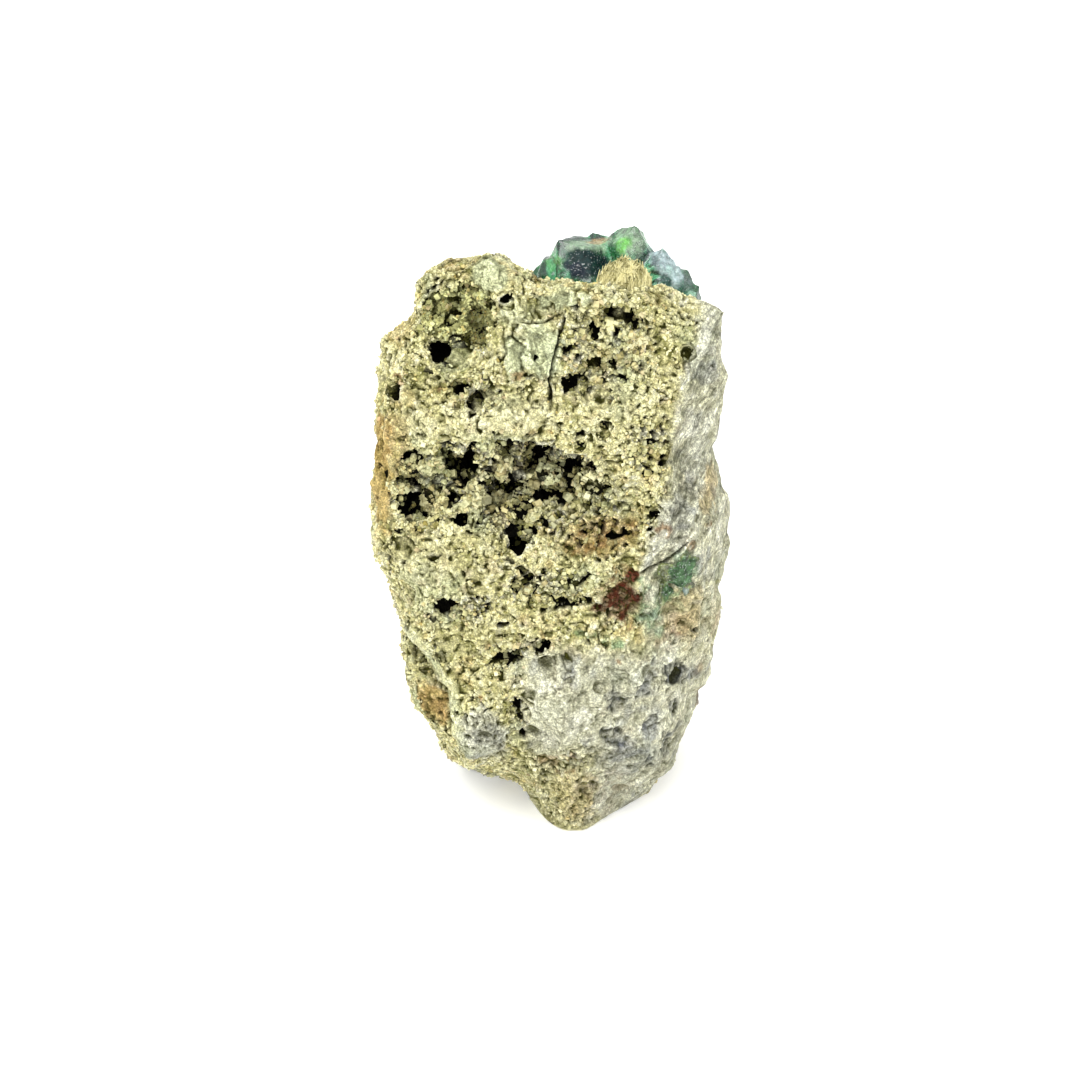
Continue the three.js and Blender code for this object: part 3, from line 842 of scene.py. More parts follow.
def averaged(mesh: bpy.types.Mesh, stack: np.ndarray, passes: int) -> np.ndarray:
    """Evens out columns of numbers kept at a mesh's corners.

    Args:
        mesh: the mesh.
        stack: the numbers, one row for each corner.
        passes: how often each corner is averaged with its neighbours.

    Returns:
        The evened numbers.
    """
    ends = np.empty(2 * len(mesh.edges), np.int32)
    mesh.edges.foreach_get("vertices", ends)
    first, second = ends.reshape(-1, 2).T
    count = np.bincount(ends, minlength=len(stack))[:, None]
    own = 0.4  # how much of its number a corner keeps in each pass
    for _ in range(passes):
        total = np.empty_like(stack)
        for column, values in enumerate(stack.T):
            total[:, column] = np.bincount(first, values[second], len(stack))
            total[:, column] += np.bincount(second, values[first], len(stack))
        stack = own * stack + (1 - own) * total / count
    return stack


def surface(mesh: bpy.types.Mesh) -> BVHTree:
    """A mesh's surface, made ready to be struck by rays.

    Args:
        mesh: the mesh.

    Returns:
        The tree of its faces.
    """
    shape = bmesh.new()
    shape.from_mesh(mesh)
    ready = BVHTree.FromBMesh(shape)
    shape.free()
    return ready


def paint(mesh: bpy.types.Mesh, colours: np.ndarray) -> None:
    """Stores a mesh's colours as its tint.

    Args:
        mesh: the mesh.
        colours: one linear colour for each corner.
    """
    layer = mesh.color_attributes.new("tint", "FLOAT_COLOR", "POINT")
    full = np.ones((len(colours), 4), np.float32)
    full[:, :3] = colours
    layer.data.foreach_set("color", full.ravel())


def keep(mesh: bpy.types.Mesh, name: str, values: np.ndarray) -> None:
    """Stores one number for each corner of a mesh under a name."""
    mesh.attributes.new(name, "FLOAT", "POINT").data.foreach_set("value", values.astype(np.float32))


def strewn(template: bmesh.types.BMesh, poses: np.ndarray, places: np.ndarray) -> bpy.types.Mesh:
    """Joins many copies of one small shape into a single mesh.

    Args:
        template: the small shape, around the origin, one unit wide.
        poses: a 3 by 3 matrix of turn and size for each copy, in millimetres.
        places: where each copy goes, in millimetres.

    Returns:
        The mesh, with the copies in order.
    """
    bmesh.ops.triangulate(template, faces=template.faces)
    shape = np.array([corner.co for corner in template.verts])
    faces = np.array([[corner.index for corner in face.verts] for face in template.faces])
    spots = (np.einsum("nij,kj->nki", poses, shape) + places[:, None]) * MM
    order = (faces[None] + len(shape) * np.arange(len(places))[:, None, None]).reshape(-1, 3)
    mesh = bpy.data.meshes.new("strewn")
    mesh.vertices.add(spots.shape[0] * spots.shape[1])
    mesh.vertices.foreach_set("co", spots.astype(np.float32).ravel())
    mesh.loops.add(order.size)
    mesh.loops.foreach_set("vertex_index", order.astype(np.int32).ravel())
    mesh.polygons.add(len(order))
    mesh.polygons.foreach_set("loop_start", np.arange(0, order.size, 3, dtype=np.int32))
    mesh.update(calc_edges=True)
    mesh.shade_flat()
    return mesh


def turns(dice: np.random.Generator, count: int) -> np.ndarray:
    """Turns spread evenly over all directions.

    Args:
        dice: the source of chance.
        count: how many turns.

    Returns:
        One 3 by 3 matrix for each.
    """
    a, b, c, d = dice.normal(size=(4, count))
    size = np.sqrt(a * a + b * b + c * c + d * d)
    a, b, c, d = a / size, b / size, c / size, d / size
    rows = [
        [1 - 2 * (c * c + d * d), 2 * (b * c - a * d), 2 * (b * d + a * c)],
        [2 * (b * c + a * d), 1 - 2 * (b * b + d * d), 2 * (c * d - a * b)],
        [2 * (b * d - a * c), 2 * (c * d + a * b), 1 - 2 * (b * b + c * c)],
    ]
    return np.moveaxis(np.array(rows), 2, 0)


# ---- Finishes ---------------------------------------------------------------------------------------


Source = bpy.types.NodeSocket | float | tuple[float, ...]  # what an input of a node can hold
Inputs = dict[str | int, Source]  # by the input's name or number


class Blank:
    """A new material with an empty node tree, and short ways to fill it."""

    def __init__(self, name: str) -> None:
        """Makes the material.

        Args:
            name: the material's name.
        """
        self.material = bpy.data.materials.new(name)
        self.material.use_nodes = True
        self.tree = self.material.node_tree
        self.tree.nodes.clear()
        self.place = self.add("TexCoord").outputs["Object"]

    def add(self, kind: str, inputs: Inputs | None = None, step: str = "") -> bpy.types.Node:
        """Adds a node.

        Args:
            kind: the node's type, after "ShaderNode".
            inputs: the socket or the plain value for each input that is set.
            step: the operation, for a node of arithmetic.

        Returns:
            The new node.
        """
        node = self.tree.nodes.new("ShaderNode" + kind)
        if step:
            node.operation = step
        for slot, source in (inputs or {}).items():
            if isinstance(source, bpy.types.NodeSocket):
                self.tree.links.new(source, node.inputs[slot])
            else:
                node.inputs[slot].default_value = source
        return node

    def maths(self, step: str, first: Source, second: Source = 0.0) -> bpy.types.NodeSocket:
        """Joins two sockets or numbers by one step of arithmetic."""
        return self.add("Math", {0: first, 1: second}, step).outputs[0]

    def spread(self, source: Source, low: float, high: float, least: float, most: float) -> Source:
        """Stretches a socket from one span of numbers to another, and clips it."""
        return self.add("MapRange", {0: source, 1: low, 2: high, 3: least, 4: most}).outputs[0]

    def faded(self, source: Source, share: Source) -> bpy.types.NodeSocket:
        """Draws a factor towards one, the more so the less its share is."""
        return self.maths("ADD", self.maths("MULTIPLY", self.maths("SUBTRACT", source, 1.0), share), 1.0)

    def scaled(self, colour: Source, factor: Source) -> bpy.types.NodeSocket:
        """Makes a colour darker or lighter by a factor."""
        return self.add("VectorMath", {0: colour, "Scale": factor}, "SCALE").outputs["Vector"]

    def noise(
        self, size_mm: float, detail: float = 2, rough: float = 0.5, at: Source | None = None
    ) -> bpy.types.Node:
        """Adds noise.

        Args:
            size_mm: how wide its lumps are.
            detail: how many finer layers it has.
            rough: how strong these are.
            at: where it is read, if that isn't the place on the object.

        Returns:
            The new node.
        """
        where = at or self.place
        scale = 1 / (size_mm * MM)
        return self.add("TexNoise", {"Vector": where, "Scale": scale, "Detail": detail, "Roughness": rough})

    def kept(self, name: str) -> bpy.types.Node:
        """Adds the numbers or colours that the mesh keeps.

        Args:
            name: what they are kept under.

        Returns:
            The new node.
        """
        node = self.add("Attribute")
        node.attribute_name = name
        return node

    def bump(self, strength: float, depth_mm: float, height: Source) -> bpy.types.NodeSocket:
        """Turns heights into normals."""
        inputs = {"Strength": strength, "Distance": depth_mm * MM, "Height": height}
        return self.add("Bump", inputs).outputs["Normal"]

    def shader(self, inputs: Inputs) -> bpy.types.NodeSocket:
        """Adds a surface shader."""
        return self.add("BsdfPrincipled", inputs).outputs["BSDF"]

    def finished(self, outputs: Inputs) -> bpy.types.Material:
        """Ends the tree with what the surface and the inside are."""
        self.add("OutputMaterial", outputs)
        return self.material


@dataclass(frozen=True)
class RockFinish:
    """Sugary rock: its tint attribute, roughened by beads, crinkles and fibres, and darkened with painted
    shade where these sink.
    """

    name: str = "sugary_rock"
    roughness: float = 0.8
    shine: float = 0.05
    bead_mm: float = 0.33
    crinkle_mm: float = 0.3
    squiggle_mm: float = 0.35
    fibre_mm: float = 0.3
    fibre_stretch: float = 13
    fibre_way: tuple[float, float, float] = (0.5, 0.41, 0.77)
    bend_mm: float = 0.8  # how wide the lumps are that push the beads about
    bend_reach_mm: float = 0.35
    bump_mm: float = 0.16
    bump_strength: float = 0.9

    def material(self) -> bpy.types.Material:
        """Builds the material.

        Returns:
            The new material.
        """
        new = Blank(self.name)
        granular, fibrous = new.kept("granular").outputs["Fac"], new.kept("fibrous").outputs["Fac"]
        crinkle = new.noise(self.crinkle_mm, 5, 0.7).outputs["Fac"]
        push = new.noise(self.bend_mm, 2, 0.7).outputs["Color"]
        reach = (self.bend_reach_mm * MM,) * 3
        bent = new.add("VectorMath", {0: push, 1: reach, 2: new.place}, "MULTIPLY_ADD").outputs[0]
        grid = {"Scale": 1 / (self.bead_mm * MM), "Vector": bent}
        beads = new.add("TexVoronoi", grid).outputs["Distance"]
        turn = Vector((0, 0, 1)).rotation_difference(Vector(self.fibre_way)).to_euler()
        comb = new.add("Mapping")
        comb.vector_type = "TEXTURE"
        comb.inputs["Rotation"].default_value = turn
        comb.inputs["Scale"].default_value = (1, 1, self.fibre_stretch)
        new.tree.links.new(new.place, comb.inputs["Vector"])
        fibres = new.noise(self.fibre_mm, 4, 0.7, comb.outputs[0]).outputs["Fac"]
        wriggle = new.noise(self.squiggle_mm, 4, 0.7, bent).outputs["Fac"]
        squiggle = new.maths("ABSOLUTE", new.maths("SUBTRACT", wriggle, 0.5))

        # painted shade: darker between the beads, along the squiggle's grooves, in the low crinkles and
        # between the fibres, where the bump below sinks
        gap_shade = new.faded(new.spread(beads, 0.3, 0.75, 1.2, 0.35), granular)
        line = new.spread(squiggle, 0.0, 0.055, 0.42, 1.14)
        crinkle_shade = new.spread(crinkle, 0.3, 0.7, 0.55, 1.42)
        combed = new.faded(new.spread(fibres, 0.35, 0.65, 0.55, 1.42), fibrous)
        holes, crinkle_fibre_shade = new.maths("MULTIPLY", gap_shade, line), new.maths("MULTIPLY", crinkle_shade, combed)
        shade = new.maths("MULTIPLY", holes, crinkle_fibre_shade)

        height = new.maths("MULTIPLY", beads, new.maths("MULTIPLY", granular, -0.9))
        height = new.maths("ADD", height, new.maths("MULTIPLY", crinkle, 1.3))
        height = new.maths("ADD", height, new.maths("MULTIPLY", fibres, fibrous))
        height = new.maths("ADD", height, new.maths("MINIMUM", new.maths("MULTIPLY", squiggle, 6.0), 0.4))
        surface_look = {
            "Roughness": self.roughness,
            "Specular IOR Level": self.shine,
            "Base Color": new.scaled(new.kept("tint").outputs["Color"], shade),
            "Normal": new.bump(self.bump_strength, self.bump_mm, height),
        }
        return new.finished({"Surface": new.shader(surface_look)})


@dataclass(frozen=True)
class GrainFinish:
    """A loose grain's own tint, a little shiny."""

    name: str
    roughness: float = 0.45
    shine: float = 0.12
    speckle_mm: float = 0.22

    def material(self) -> bpy.types.Material:
        """Builds the material.

        Returns:
            The new material.
        """
        new = Blank(self.name)
        shade = new.spread(new.noise(self.speckle_mm).outputs["Fac"], 0.3, 0.7, 0.8, 1.12)
        surface_look = {
            "Roughness": self.roughness,
            "Specular IOR Level": self.shine,
            "Base Color": new.scaled(new.kept("tint").outputs["Color"], shade),
        }
        return new.finished({"Surface": new.shader(surface_look)})


@dataclass(frozen=True)
class GarnetFinish:
    """Clear green garnet: it bends light strongly, swallows red and blue, and is etched in places."""

    name: str = "clear_green_garnet"
    roughness: float = 0.1
    ior: float = 1.88
    shine: float = 0.2
    hue: tuple[float, float, float] = (0.9, 1.0, 0.94)
    through: tuple[float, float, float] = (0.22, 0.72, 0.46)
    density: float = 300.0
    etched_roughness: float = 0.4
    etched_shine: float = 0.08
    crinkle_mm: float = 0.45
    speck_mm: float = 0.2
    bump_mm: float = 0.05
    bump_strength: float = 0.5

    def material(self) -> bpy.types.Material:
        """Builds the material.

        Returns:
            The new material.
        """
        new = Blank(self.name)
        crinkle = new.noise(self.crinkle_mm, 5, 0.7).outputs["Fac"]
        bumps = new.bump(self.bump_strength, self.bump_mm, crinkle)
        clear = {
            "Base Color": (*self.hue, 1),
            "Roughness": self.roughness,
            "IOR": self.ior,
            "Transmission Weight": 1.0,
            "Specular IOR Level": self.shine,
            "Normal": bumps,
        }
        specks = new.spread(new.noise(self.speck_mm, 3).outputs["Fac"], 0.58, 0.7, 0.0, 0.3)
        # painted shade and highlight: the tint darkens where the crinkle bump sinks and brightens where it
        # rises
        tint = new.scaled(new.kept("tint").outputs["Color"], new.spread(crinkle, 0.35, 0.7, 0.55, 1.7))
        etched = {
            "Base Color": new.add("VectorMath", {0: tint, 1: specks}, "ADD").outputs["Vector"],
            "Roughness": self.etched_roughness,
            "Specular IOR Level": self.etched_shine,
            "Normal": bumps,
        }
        frost = new.kept("frost").outputs["Fac"]
        mix = new.add("MixShader", {0: frost, 1: new.shader(clear), 2: new.shader(etched)})
        depth = new.add("VolumeAbsorption", {"Color": (*self.through, 1), "Density": self.density})
        return new.finished({"Surface": mix.outputs["Shader"], "Volume": depth.outputs["Volume"]})


# ---- The rock ---------------------------------------------------------------------------------------


def remeshed(node: str, voxel_mm: float, soften: int) -> bpy.types.Mesh:
    """A fine, evenly meshed copy of a CAD node.

    Args:
        node: the CAD node's name.
        voxel_mm: how wide its faces are.
        soften: how often the copy is smoothed.

    Returns:
        The new closed mesh.
    """
    rough = placed("rough", merged_copy(node))
    remesh = rough.modifiers.new("fine", "REMESH")
    remesh.mode = "VOXEL"
    remesh.voxel_size = voxel_mm * MM
    if soften:
        relax = rough.modifiers.new("soft", "SMOOTH")
        relax.iterations = soften
    return settled(rough)


@dataclass
class RockBody:
    """The block of granular rock: a fine closed surface over the CAD block."""

    voxel_mm: float = 0.21
    soften: int = 6
    faces: int = 196000
    settle_mm: float = 0.3  # the middle of the relief lies this far inside the CAD block
    swells_mm: tuple[float, float] = (0.36, 0.27)  # the broad swellings and the smaller ones
    lumps_mm: float = 0.5
    lump_size_mm: float = 2.3
    knobs_mm: tuple[float, float] = (0.32, 0.45)  # the crumbs, and how much more loose ones stand out
    beads_mm: tuple[float, float] = (0.1, 0.55)  # the same for the smaller crumbs
    crumb_rim: float = 0.42  # a crumb's height is nought this far from its middle, in cell widths
    curls_mm: float = 0.16
    creases_mm: float = 0.28
    plates_mm: float = 0.9
    streaks_mm: float = 0.16
    pits_mm: float = 1.3
    slits_less_mm: float = 0.5  # slits are shallower than other pits by this much
    moss_mm: float = 0.25
    ink_mm: float = 0.4
    foot_swells_mm: tuple[float, float] = (0.4, 0.25)
    proud_mm: float = 0.5  # and nothing stands out of the block by more than this
    foot_mm: tuple[float, float] = (0.1, 1.2)  # the relief fades out between these heights
    filled_to: float = 0.45  # the share of a filled hole's depths that its floor rises to
    pillars_to: float = 0.3  # and the share that a column of crumbs rises to
    floor_step_mm: float = 0.25  # less this much
    raised_mm: float = 4.0  # a floor rises by no more than this
    deep_mm: float = 5.0  # and what lies this far behind the front is left as it is
    floor_passes: int = 6  # how often a raised floor is evened out
    wide_passes: int = 60  # how wide the surroundings are that a hollow is measured against
    fine_passes: int = 5  # and those of a gap between grains
    back_weight: float = 0.08  # how much sooner the back loses its faces

    def sinking(self, passes: int) -> np.ndarray:
        """How far each corner lies below its surroundings.

        Args:
            passes: how often the surroundings are averaged, which is how wide they are.

        Returns:
            Millimetres for each corner.
        """
        spots = corners(self.mesh)
        stack = averaged(self.mesh, np.hstack([spots, facings(self.mesh)]), passes)
        mean_facing = stack[:, 3:] / np.maximum(np.linalg.norm(stack[:, 3:], axis=1), 1e-6)[:, None]
        return np.einsum("ij,ij->i", stack[:, :3] - spots, mean_facing)

    def relief(self, ground: Ground) -> np.ndarray:
        """How far the broken surface stands out of the softened block.

        Args:
            ground: the marks at each corner of the block.

        Returns:
            Millimetres for each corner.
        """
        spots, share = ground.points, ground.share
        rough = 1 - 0.85 * ground.smooth
        broad, small = self.swells_mm
        height = broad * drift(spots, 3.0, 61) + small * drift(spots, 1.5, 62) - self.settle_mm
        lumps, _, _ = pebbling(spots, self.lump_size_mm, 41)
        height += self.lumps_mm * (0.5 - lumps) * (0.5 + 0.5 * rough)
        firm, loose = self.knobs_mm
        height += rough * (firm + loose * ground.grainy) * (self.crumb_rim - ground.knob)
        firm, loose = self.beads_mm
        height += (firm + loose * ground.grainy) * (self.crumb_rim - ground.bead)
        curling = self.curls_mm * ground.curl - self.creases_mm * ground.crease * (1 - 0.6 * ground.streaky)
        height += (0.25 + 0.75 * rough) * curling
        height += share[Kind.PLATE] * self.plates_mm * (ground.level - 0.5) * ease(ground.v, 25.5, 24.0)
        height += ground.streaky * self.streaks_mm * ground.streaks()
        pits = (self.pits_mm - self.slits_less_mm * ground.slit) * share[Kind.PIT]
        height -= pits + self.moss_mm * share[Kind.MOSS]
        height -= self.ink_mm * share[Kind.INK]
        broad, small = self.foot_swells_mm
        height += ground.worn * (broad * drift(spots, 2.8, 63) + small * drift(spots, 1.2, 64))
        for seam in SEAMS:
            height += seam.rise * seam.cover(ground.u, ground.v) * ground.facing
        return np.minimum(height, self.proud_mm)

    def filled(self) -> np.ndarray:
        """The corners of the block, with the floors of some holes raised by crumbs of rock.

        Returns:
            Places in millimetres.
        """
        spots = corners(self.mesh)
        u, v, w = leaned(spots)
        sunk_in, stood = below_front(v, w), pillars(u, v)
        rise = np.zeros(len(spots))
        for mark in MARKS:
            if mark.kind not in (Kind.FILL, Kind.PIT) or min(mark.half) < SLIT_MM:
                continue
            cover = mark.cover(u, v, np.zeros(1))
            near = (cover > 0) & (sunk_in < self.deep_mm)
            level = self.pillars_to if mark.kind is Kind.PIT else self.filled_to
            short = sunk_in - np.quantile(sunk_in[near], level) - self.floor_step_mm
            if mark.kind is Kind.PIT:
                cover = cover * stood
            rise = np.maximum(rise, cover * np.clip(short, 0, self.raised_mm) * (short < self.deep_mm))
        raised = spots + OUTWARD * rise[:, None]
        near = ease(averaged(self.mesh, ease(rise, 0.0, 0.4)[:, None], 3), 0.05, 0.4)
        return raised + near * (averaged(self.mesh, raised, self.floor_passes) - raised)

    def build(self) -> None:
        """Makes the rock's surface, and measures its hollows."""
        self.mesh = remeshed("matrix", self.voxel_mm, self.soften)
        spots = self.filled()
        move(self.mesh, spots)
        home = self.mesh.attributes.new("home", "FLOAT_VECTOR", "POINT")
        home.data.foreach_set("vector", spots.astype(np.float32).ravel())
        ground = Ground(spots)
        height = self.relief(ground) * ease(spots[:, 2], *self.foot_mm)
        spots += facings(self.mesh) * height[:, None]
        for middle, half, rise in KNOLLS:
            swell = rise * np.exp(-(((ground.u - middle) / half) ** 2)) * ease(ground.v, 24.5, 27.5)
            spots += UPWARD * swell[:, None]
        spots[:, 2] = np.maximum(spots[:, 2], 0.0)
        move(self.mesh, spots)
        self.thin()
        self.mesh.shade_smooth()
        log.info("rock surface: %d corners", len(self.mesh.vertices))
        self.home = triples(self.mesh.attributes["home"].data, "vector")
        self.mesh.attributes.remove(self.mesh.attributes["home"])
        self.sunk = self.sinking(self.wide_passes)

    def thin(self) -> None:
        """Takes away faces that are not needed, most of them at the back."""
        full = placed("full", self.mesh)
        group = full.vertex_groups.new(name="behind")
        behind = ease(facings(self.mesh) @ OUTWARD, 0.25, -0.25)
        steps = 10
        for step in range(steps + 1):
            group.add(np.flatnonzero(np.round(behind * steps) == step).tolist(), step / steps, "REPLACE")
        fewer = full.modifiers.new("fewer", "DECIMATE")
        fewer.ratio = self.faces / (2 * len(self.mesh.polygons))
        fewer.vertex_group = group.name
        fewer.vertex_group_factor = self.back_weight
        self.mesh = settled(full)

    def dress(self) -> None:
        """Colours the rock, with painted shade and painted highlights, and shows it in place of its CAD
        node.
        """
        spots, ground = self.home, Ground(self.home)
        fine = self.sinking(self.fine_passes)
        # light mixes random tone with painted shade in fine hollows and painted highlights on the raised
        # curls and fibre streaks
        light = 0.42 + 0.25 * drift(spots, 0.7, 81) + 0.22 * drift(spots, 2.2, 82)
        light += 0.3 * (ground.lot - 0.5)
        more = 0.1 * ground.smooth - 0.1 * ground.share[Kind.PORES]
        light += more + 0.4 * ground.streaky * ground.streaks() - 2.0 * fine + 0.12 * ground.curl
        tone = ground.colour(np.clip(light, 0, 1))
        whole = 1 - ground.share[Kind.PORES]
        tone *= (0.98 + 0.09 * ground.worn + 0.04 * ground.share[Kind.PLATE])[:, None]
        # darker towards the bottom, and a little darker in a middle band where the rock is not porous
        darker_low = 1 - 0.15 * ease(-ground.v, 18.0, 23.0)
        tone *= (darker_low - 0.06 * whole * ease(8 - np.abs(ground.v), 0, 3))[:, None]
        # painted shade in brown and painted black shadow, laid over the rock's colour
        gap_shade, black = self.shadows(ground, fine)
        tone = blend(blend(tone, SHADE_UMBER, gap_shade), SHADOW_BLACK, black)
        paint(self.mesh, tone)
        keep(self.mesh, "granular", ground.grainy)
        keep(self.mesh, "fibrous", ground.streaky)
        rock = show("rock", self.mesh, RockFinish().material())
        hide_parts("matrix")

    def shadows(self, ground: Ground, fine: np.ndarray) -> tuple[np.ndarray, np.ndarray]:
        """Painted shade between the rock's grains, in its creases and hollows and along the plates' rims,
        and painted black shadow in its holes and deep hollows and along its cracks.

        Args:
            ground: the marks at each corner.
            fine: how far each corner lies below what is close round it, in millimetres.

        Returns:
            Shares of brown shade and of black, for each corner.
        """
        spots, moss = ground.points, ground.share[Kind.MOSS]
        knob, bead, hole = ground.knob, ground.bead, ground.share[Kind.PIT]
        depth = (self.sunk + 0.35 * drift(spots, 0.6, 86)) * (1 - 0.9 * moss)
        gap_shade = 0.75 * ease(fine, 0.02, 0.1) + 0.6 * ease(depth, 0.12, 0.6)
        gap_shade += (0.3 * ease(knob, 0.48, 0.72) + 0.4 * ease(bead, 0.45, 0.7)) * ground.grainy
        gap_shade += 0.45 * ground.crease * (1 - ground.grainy)
        gap_shade += moss * (ease(knob, 0.42, 0.66) + 0.5 * ease(drift(spots, 1.4, 89), 0.2, 0.5))
        gap_shade = np.maximum(gap_shade * (1 - 0.55 * ground.smooth), 0.95 * ease(hole, 0.05, 0.3))
        gap_shade = np.maximum(gap_shade, 0.55 * ground.rim * ground.share[Kind.PLATE])
        black = ease(depth, 0.5, 0.95) * ease(ground.cave, 0.1, 0.5) + ease(hole, 0.45, 0.85)
        inside = np.maximum(ease(depth, 0.1, 0.35), ease(below_front(ground.v, ground.w), 0.7, 1.4))
        black += 0.95 * inside * ease(ground.cave * (1 - pillars(ground.u, ground.v)), 0.45, 0.75)
        return gap_shade, np.maximum(black, 0.8 * ground.lined(rising=False))


@dataclass
class Grains:
    """The loose and half-grown grains all over the rock, in a few joined meshes."""

    count: int = 36000
    each: int = 12000  # grains in one mesh
    size_mm: float = 0.2
    size_spread: float = 0.35  # how much their sizes differ
    bare_knob: tuple[float, float, float] = (7.0, -0.2, 57.9)  # the tuft covers this one
    bare_half: tuple[float, float, float] = (2.6, 2.4, 2.3)
    lowest_mm: float = 0.9  # no grain sits lower than this, so that the foot stands flat
    least: float = 0.06  # how many grains the barest of the grainy rock has, beside its clumps
    squash: tuple[float, float] = (0.35, 1.6)  # how much a grain is squashed or drawn out each way
    sunk_share: float = 0.35  # how much of its size a grain is sunk in or lifted at most
    seed: int = 7

    def scatter(self, rock: RockBody) -> None:
        """Strews the grains over the rock.

        Args:
            rock: the finished rock.
        """
        dice = np.random.default_rng(self.seed)
        mesh = rock.mesh
        mesh.calc_loop_triangles()
        trios = np.empty(3 * len(mesh.loop_triangles), np.int32)
        mesh.loop_triangles.foreach_get("vertices", trios)
        trios = trios.reshape(-1, 3)
        a, b, c = (corners(mesh)[trios[:, k]] for k in range(3))
        normal = np.cross(b - a, c - a)
        area = np.linalg.norm(normal, axis=1) / 2
        normal /= np.maximum(2 * area, 1e-9)[:, None]
        middle, deep = (a + b + c) / 3, rock.sunk[trios].mean(axis=1)
        ground = Ground(rock.home[trios].mean(axis=1))
        weight = self.weights(area, middle, normal, deep, ground)
        chosen = np.sort(dice.choice(len(area), self.count, p=weight / weight.sum()))
        mix = dice.dirichlet((1, 1, 1), self.count)
        at = a[chosen] * mix[:, :1] + b[chosen] * mix[:, 1:2] + c[chosen] * mix[:, 2:]
        home = np.einsum("nk,nkj->nj", mix, rock.home[trios[chosen]])
        size = self.size_mm * np.exp(self.size_spread * np.clip(dice.normal(size=self.count), -2, 1.7))
        size *= 0.85 + 0.5 * ground.share[Kind.PORES][chosen]
        at += normal[chosen] * (size * dice.uniform(-self.sunk_share, self.sunk_share, self.count))[:, None]
        stretch = dice.uniform(*self.squash, (self.count, 1, 3))
        poses = turns(dice, self.count) * stretch * size[:, None, None]
        tone = self.colour(Ground(home), deep[chosen], dice)
        material = GrainFinish("sugar_grain").material()
        order = dice.permutation(self.count)
        for number, start in enumerate(range(0, self.count, self.each)):
            part = order[start : start + self.each]
            lot = self.joined(poses[part], at[part], size[part], normal[chosen][part], tone[part])
            show(f"grains_{number + 1}", lot, material)

    def weights(
        self, area: np.ndarray, middle: np.ndarray, facing: np.ndarray, deep: np.ndarray, ground: Ground
    ) -> np.ndarray:
        """How readily each triangle of the rock takes grains.

        Args:
            area: how large it is.
            middle: its middle, in millimetres.
            facing: its normal.
            deep: how far it lies below its surroundings, in millimetres.
            ground: the ground there.

        Returns:
            One number for each triangle.
        """
        moss = ground.share[Kind.MOSS]
        clumps = ease(mottle(middle, (1.5, 84), (0.7, 85), 0.7), -0.35, 0.45)
        clumps *= 1 - 0.7 * ease(ground.knob, 0.5, 0.7)
        clumps = np.maximum(clumps, 0.9 * moss * (1 - ease(ground.knob, 0.4, 0.6)))
        bare = np.maximum(ease(ground.smooth, 0.0, 0.75), 0.85 * ground.lined(rising=False))
        hollow = deep + 0.8 * ground.share[Kind.PIT] + 0.6 * drift(middle, 0.9, 87)
        bare = np.maximum(bare, 0.85 * ease(hollow, 0.4, 1.1) * (1 - moss))
        front = 0.5 + 0.5 * ease(facing @ OUTWARD, -0.2, 0.4)
        weight = area * (1 - bare) * (self.least + clumps) * ground.grainy * front
        knob = np.linalg.norm((middle - self.bare_knob) / self.bare_half, axis=1) < 1
        return weight * ((middle[:, 2] > self.lowest_mm) & ~knob)

    def joined(
        self, poses: np.ndarray, at: np.ndarray, size: np.ndarray, up: np.ndarray, tone: np.ndarray
    ) -> bpy.types.Mesh:
        """Makes one mesh of many grains, each with painted shade towards the rock.

        Args:
            poses: each grain's turn and size, as a 3 by 3 matrix in millimetres.
            at: where it sits, in millimetres.
            size: how wide it is, in millimetres.
            up: which way is out of the rock there.
            tone: its linear colour.

        Returns:
            The coloured mesh.
        """
        template = bmesh.new()
        bmesh.ops.create_cube(template, size=1.0)
        each = len(template.verts)
        mesh = strewn(template, poses, at)
        template.free()
        raised = corners(mesh).reshape(-1, each, 3) - at[:, None]
        raised = np.einsum("nkj,nj->nk", raised, up) / size[:, None]
        # painted shade: the corners of each grain that face the rock are darkened towards the brown shade
        # colour
        lit = ease(raised, -0.45, 0.3)[..., None]
        shaded = tone[:, None] * (0.25 + 0.75 * lit) + 0.4 * SHADE_UMBER * (1 - lit)
        paint(mesh, shaded.reshape(-1, 3))
        return mesh

    def colour(self, local: Ground, deep: np.ndarray, dice: np.random.Generator) -> np.ndarray:
        """The grains' colours, with painted shade for grains in hollows.

        Args:
            local: the ground below each grain.
            deep: how far each lies below its surroundings, in millimetres.
            dice: the source of chance.

        Returns:
            One linear colour for each grain.
        """
        deep = deep * (1 - 0.85 * local.share[Kind.MOSS])
        # light carries painted shade: grains that lie deeper below their surroundings are darker
        light = 0.5 + 0.2 * dice.normal(size=self.count) + 0.25 * drift(local.points, 1.3, 83) - 0.6 * deep
        tone = local.colour(np.clip(light, 0, 0.9)) * 0.94
        odd = dice.uniform(size=self.count)
        odd_lots = ((ROSE, 0.0, 0.05), (SAGE, 0.05, 0.2), (OCHRE, 0.2, 0.26), (OLIVE, 0.26, 0.38))
        for hue, least, most in odd_lots:
            picked = (odd >= least) & (odd < most)
            tone = blend(tone, hue * 0.8, 0.4 * picked * (1 - local.share[Kind.WINE]))
        tone = blend(tone, OLIVE * 0.8, 0.3 * local.share[Kind.PORES])
        tone *= 1 + 0.25 * local.share[Kind.MOSS][:, None]
        # painted shade: grains at the edges of the mossy hollow's knobs and grains in deep hollows are
        # darkened
        tone = blend(tone, SHADE_UMBER, 0.85 * local.share[Kind.MOSS] * ease(local.knob, 0.46, 0.64))
        return blend(tone, SHADE_UMBER * 1.3, ease(deep, 0.3, 0.9) * 0.7)


# ---- Garnets and tuft -------------------------------------------------------------------------------


DARK_KINDS = (Kind.TEAL, Kind.NAVY, Kind.DEEP, Kind.GREEN)


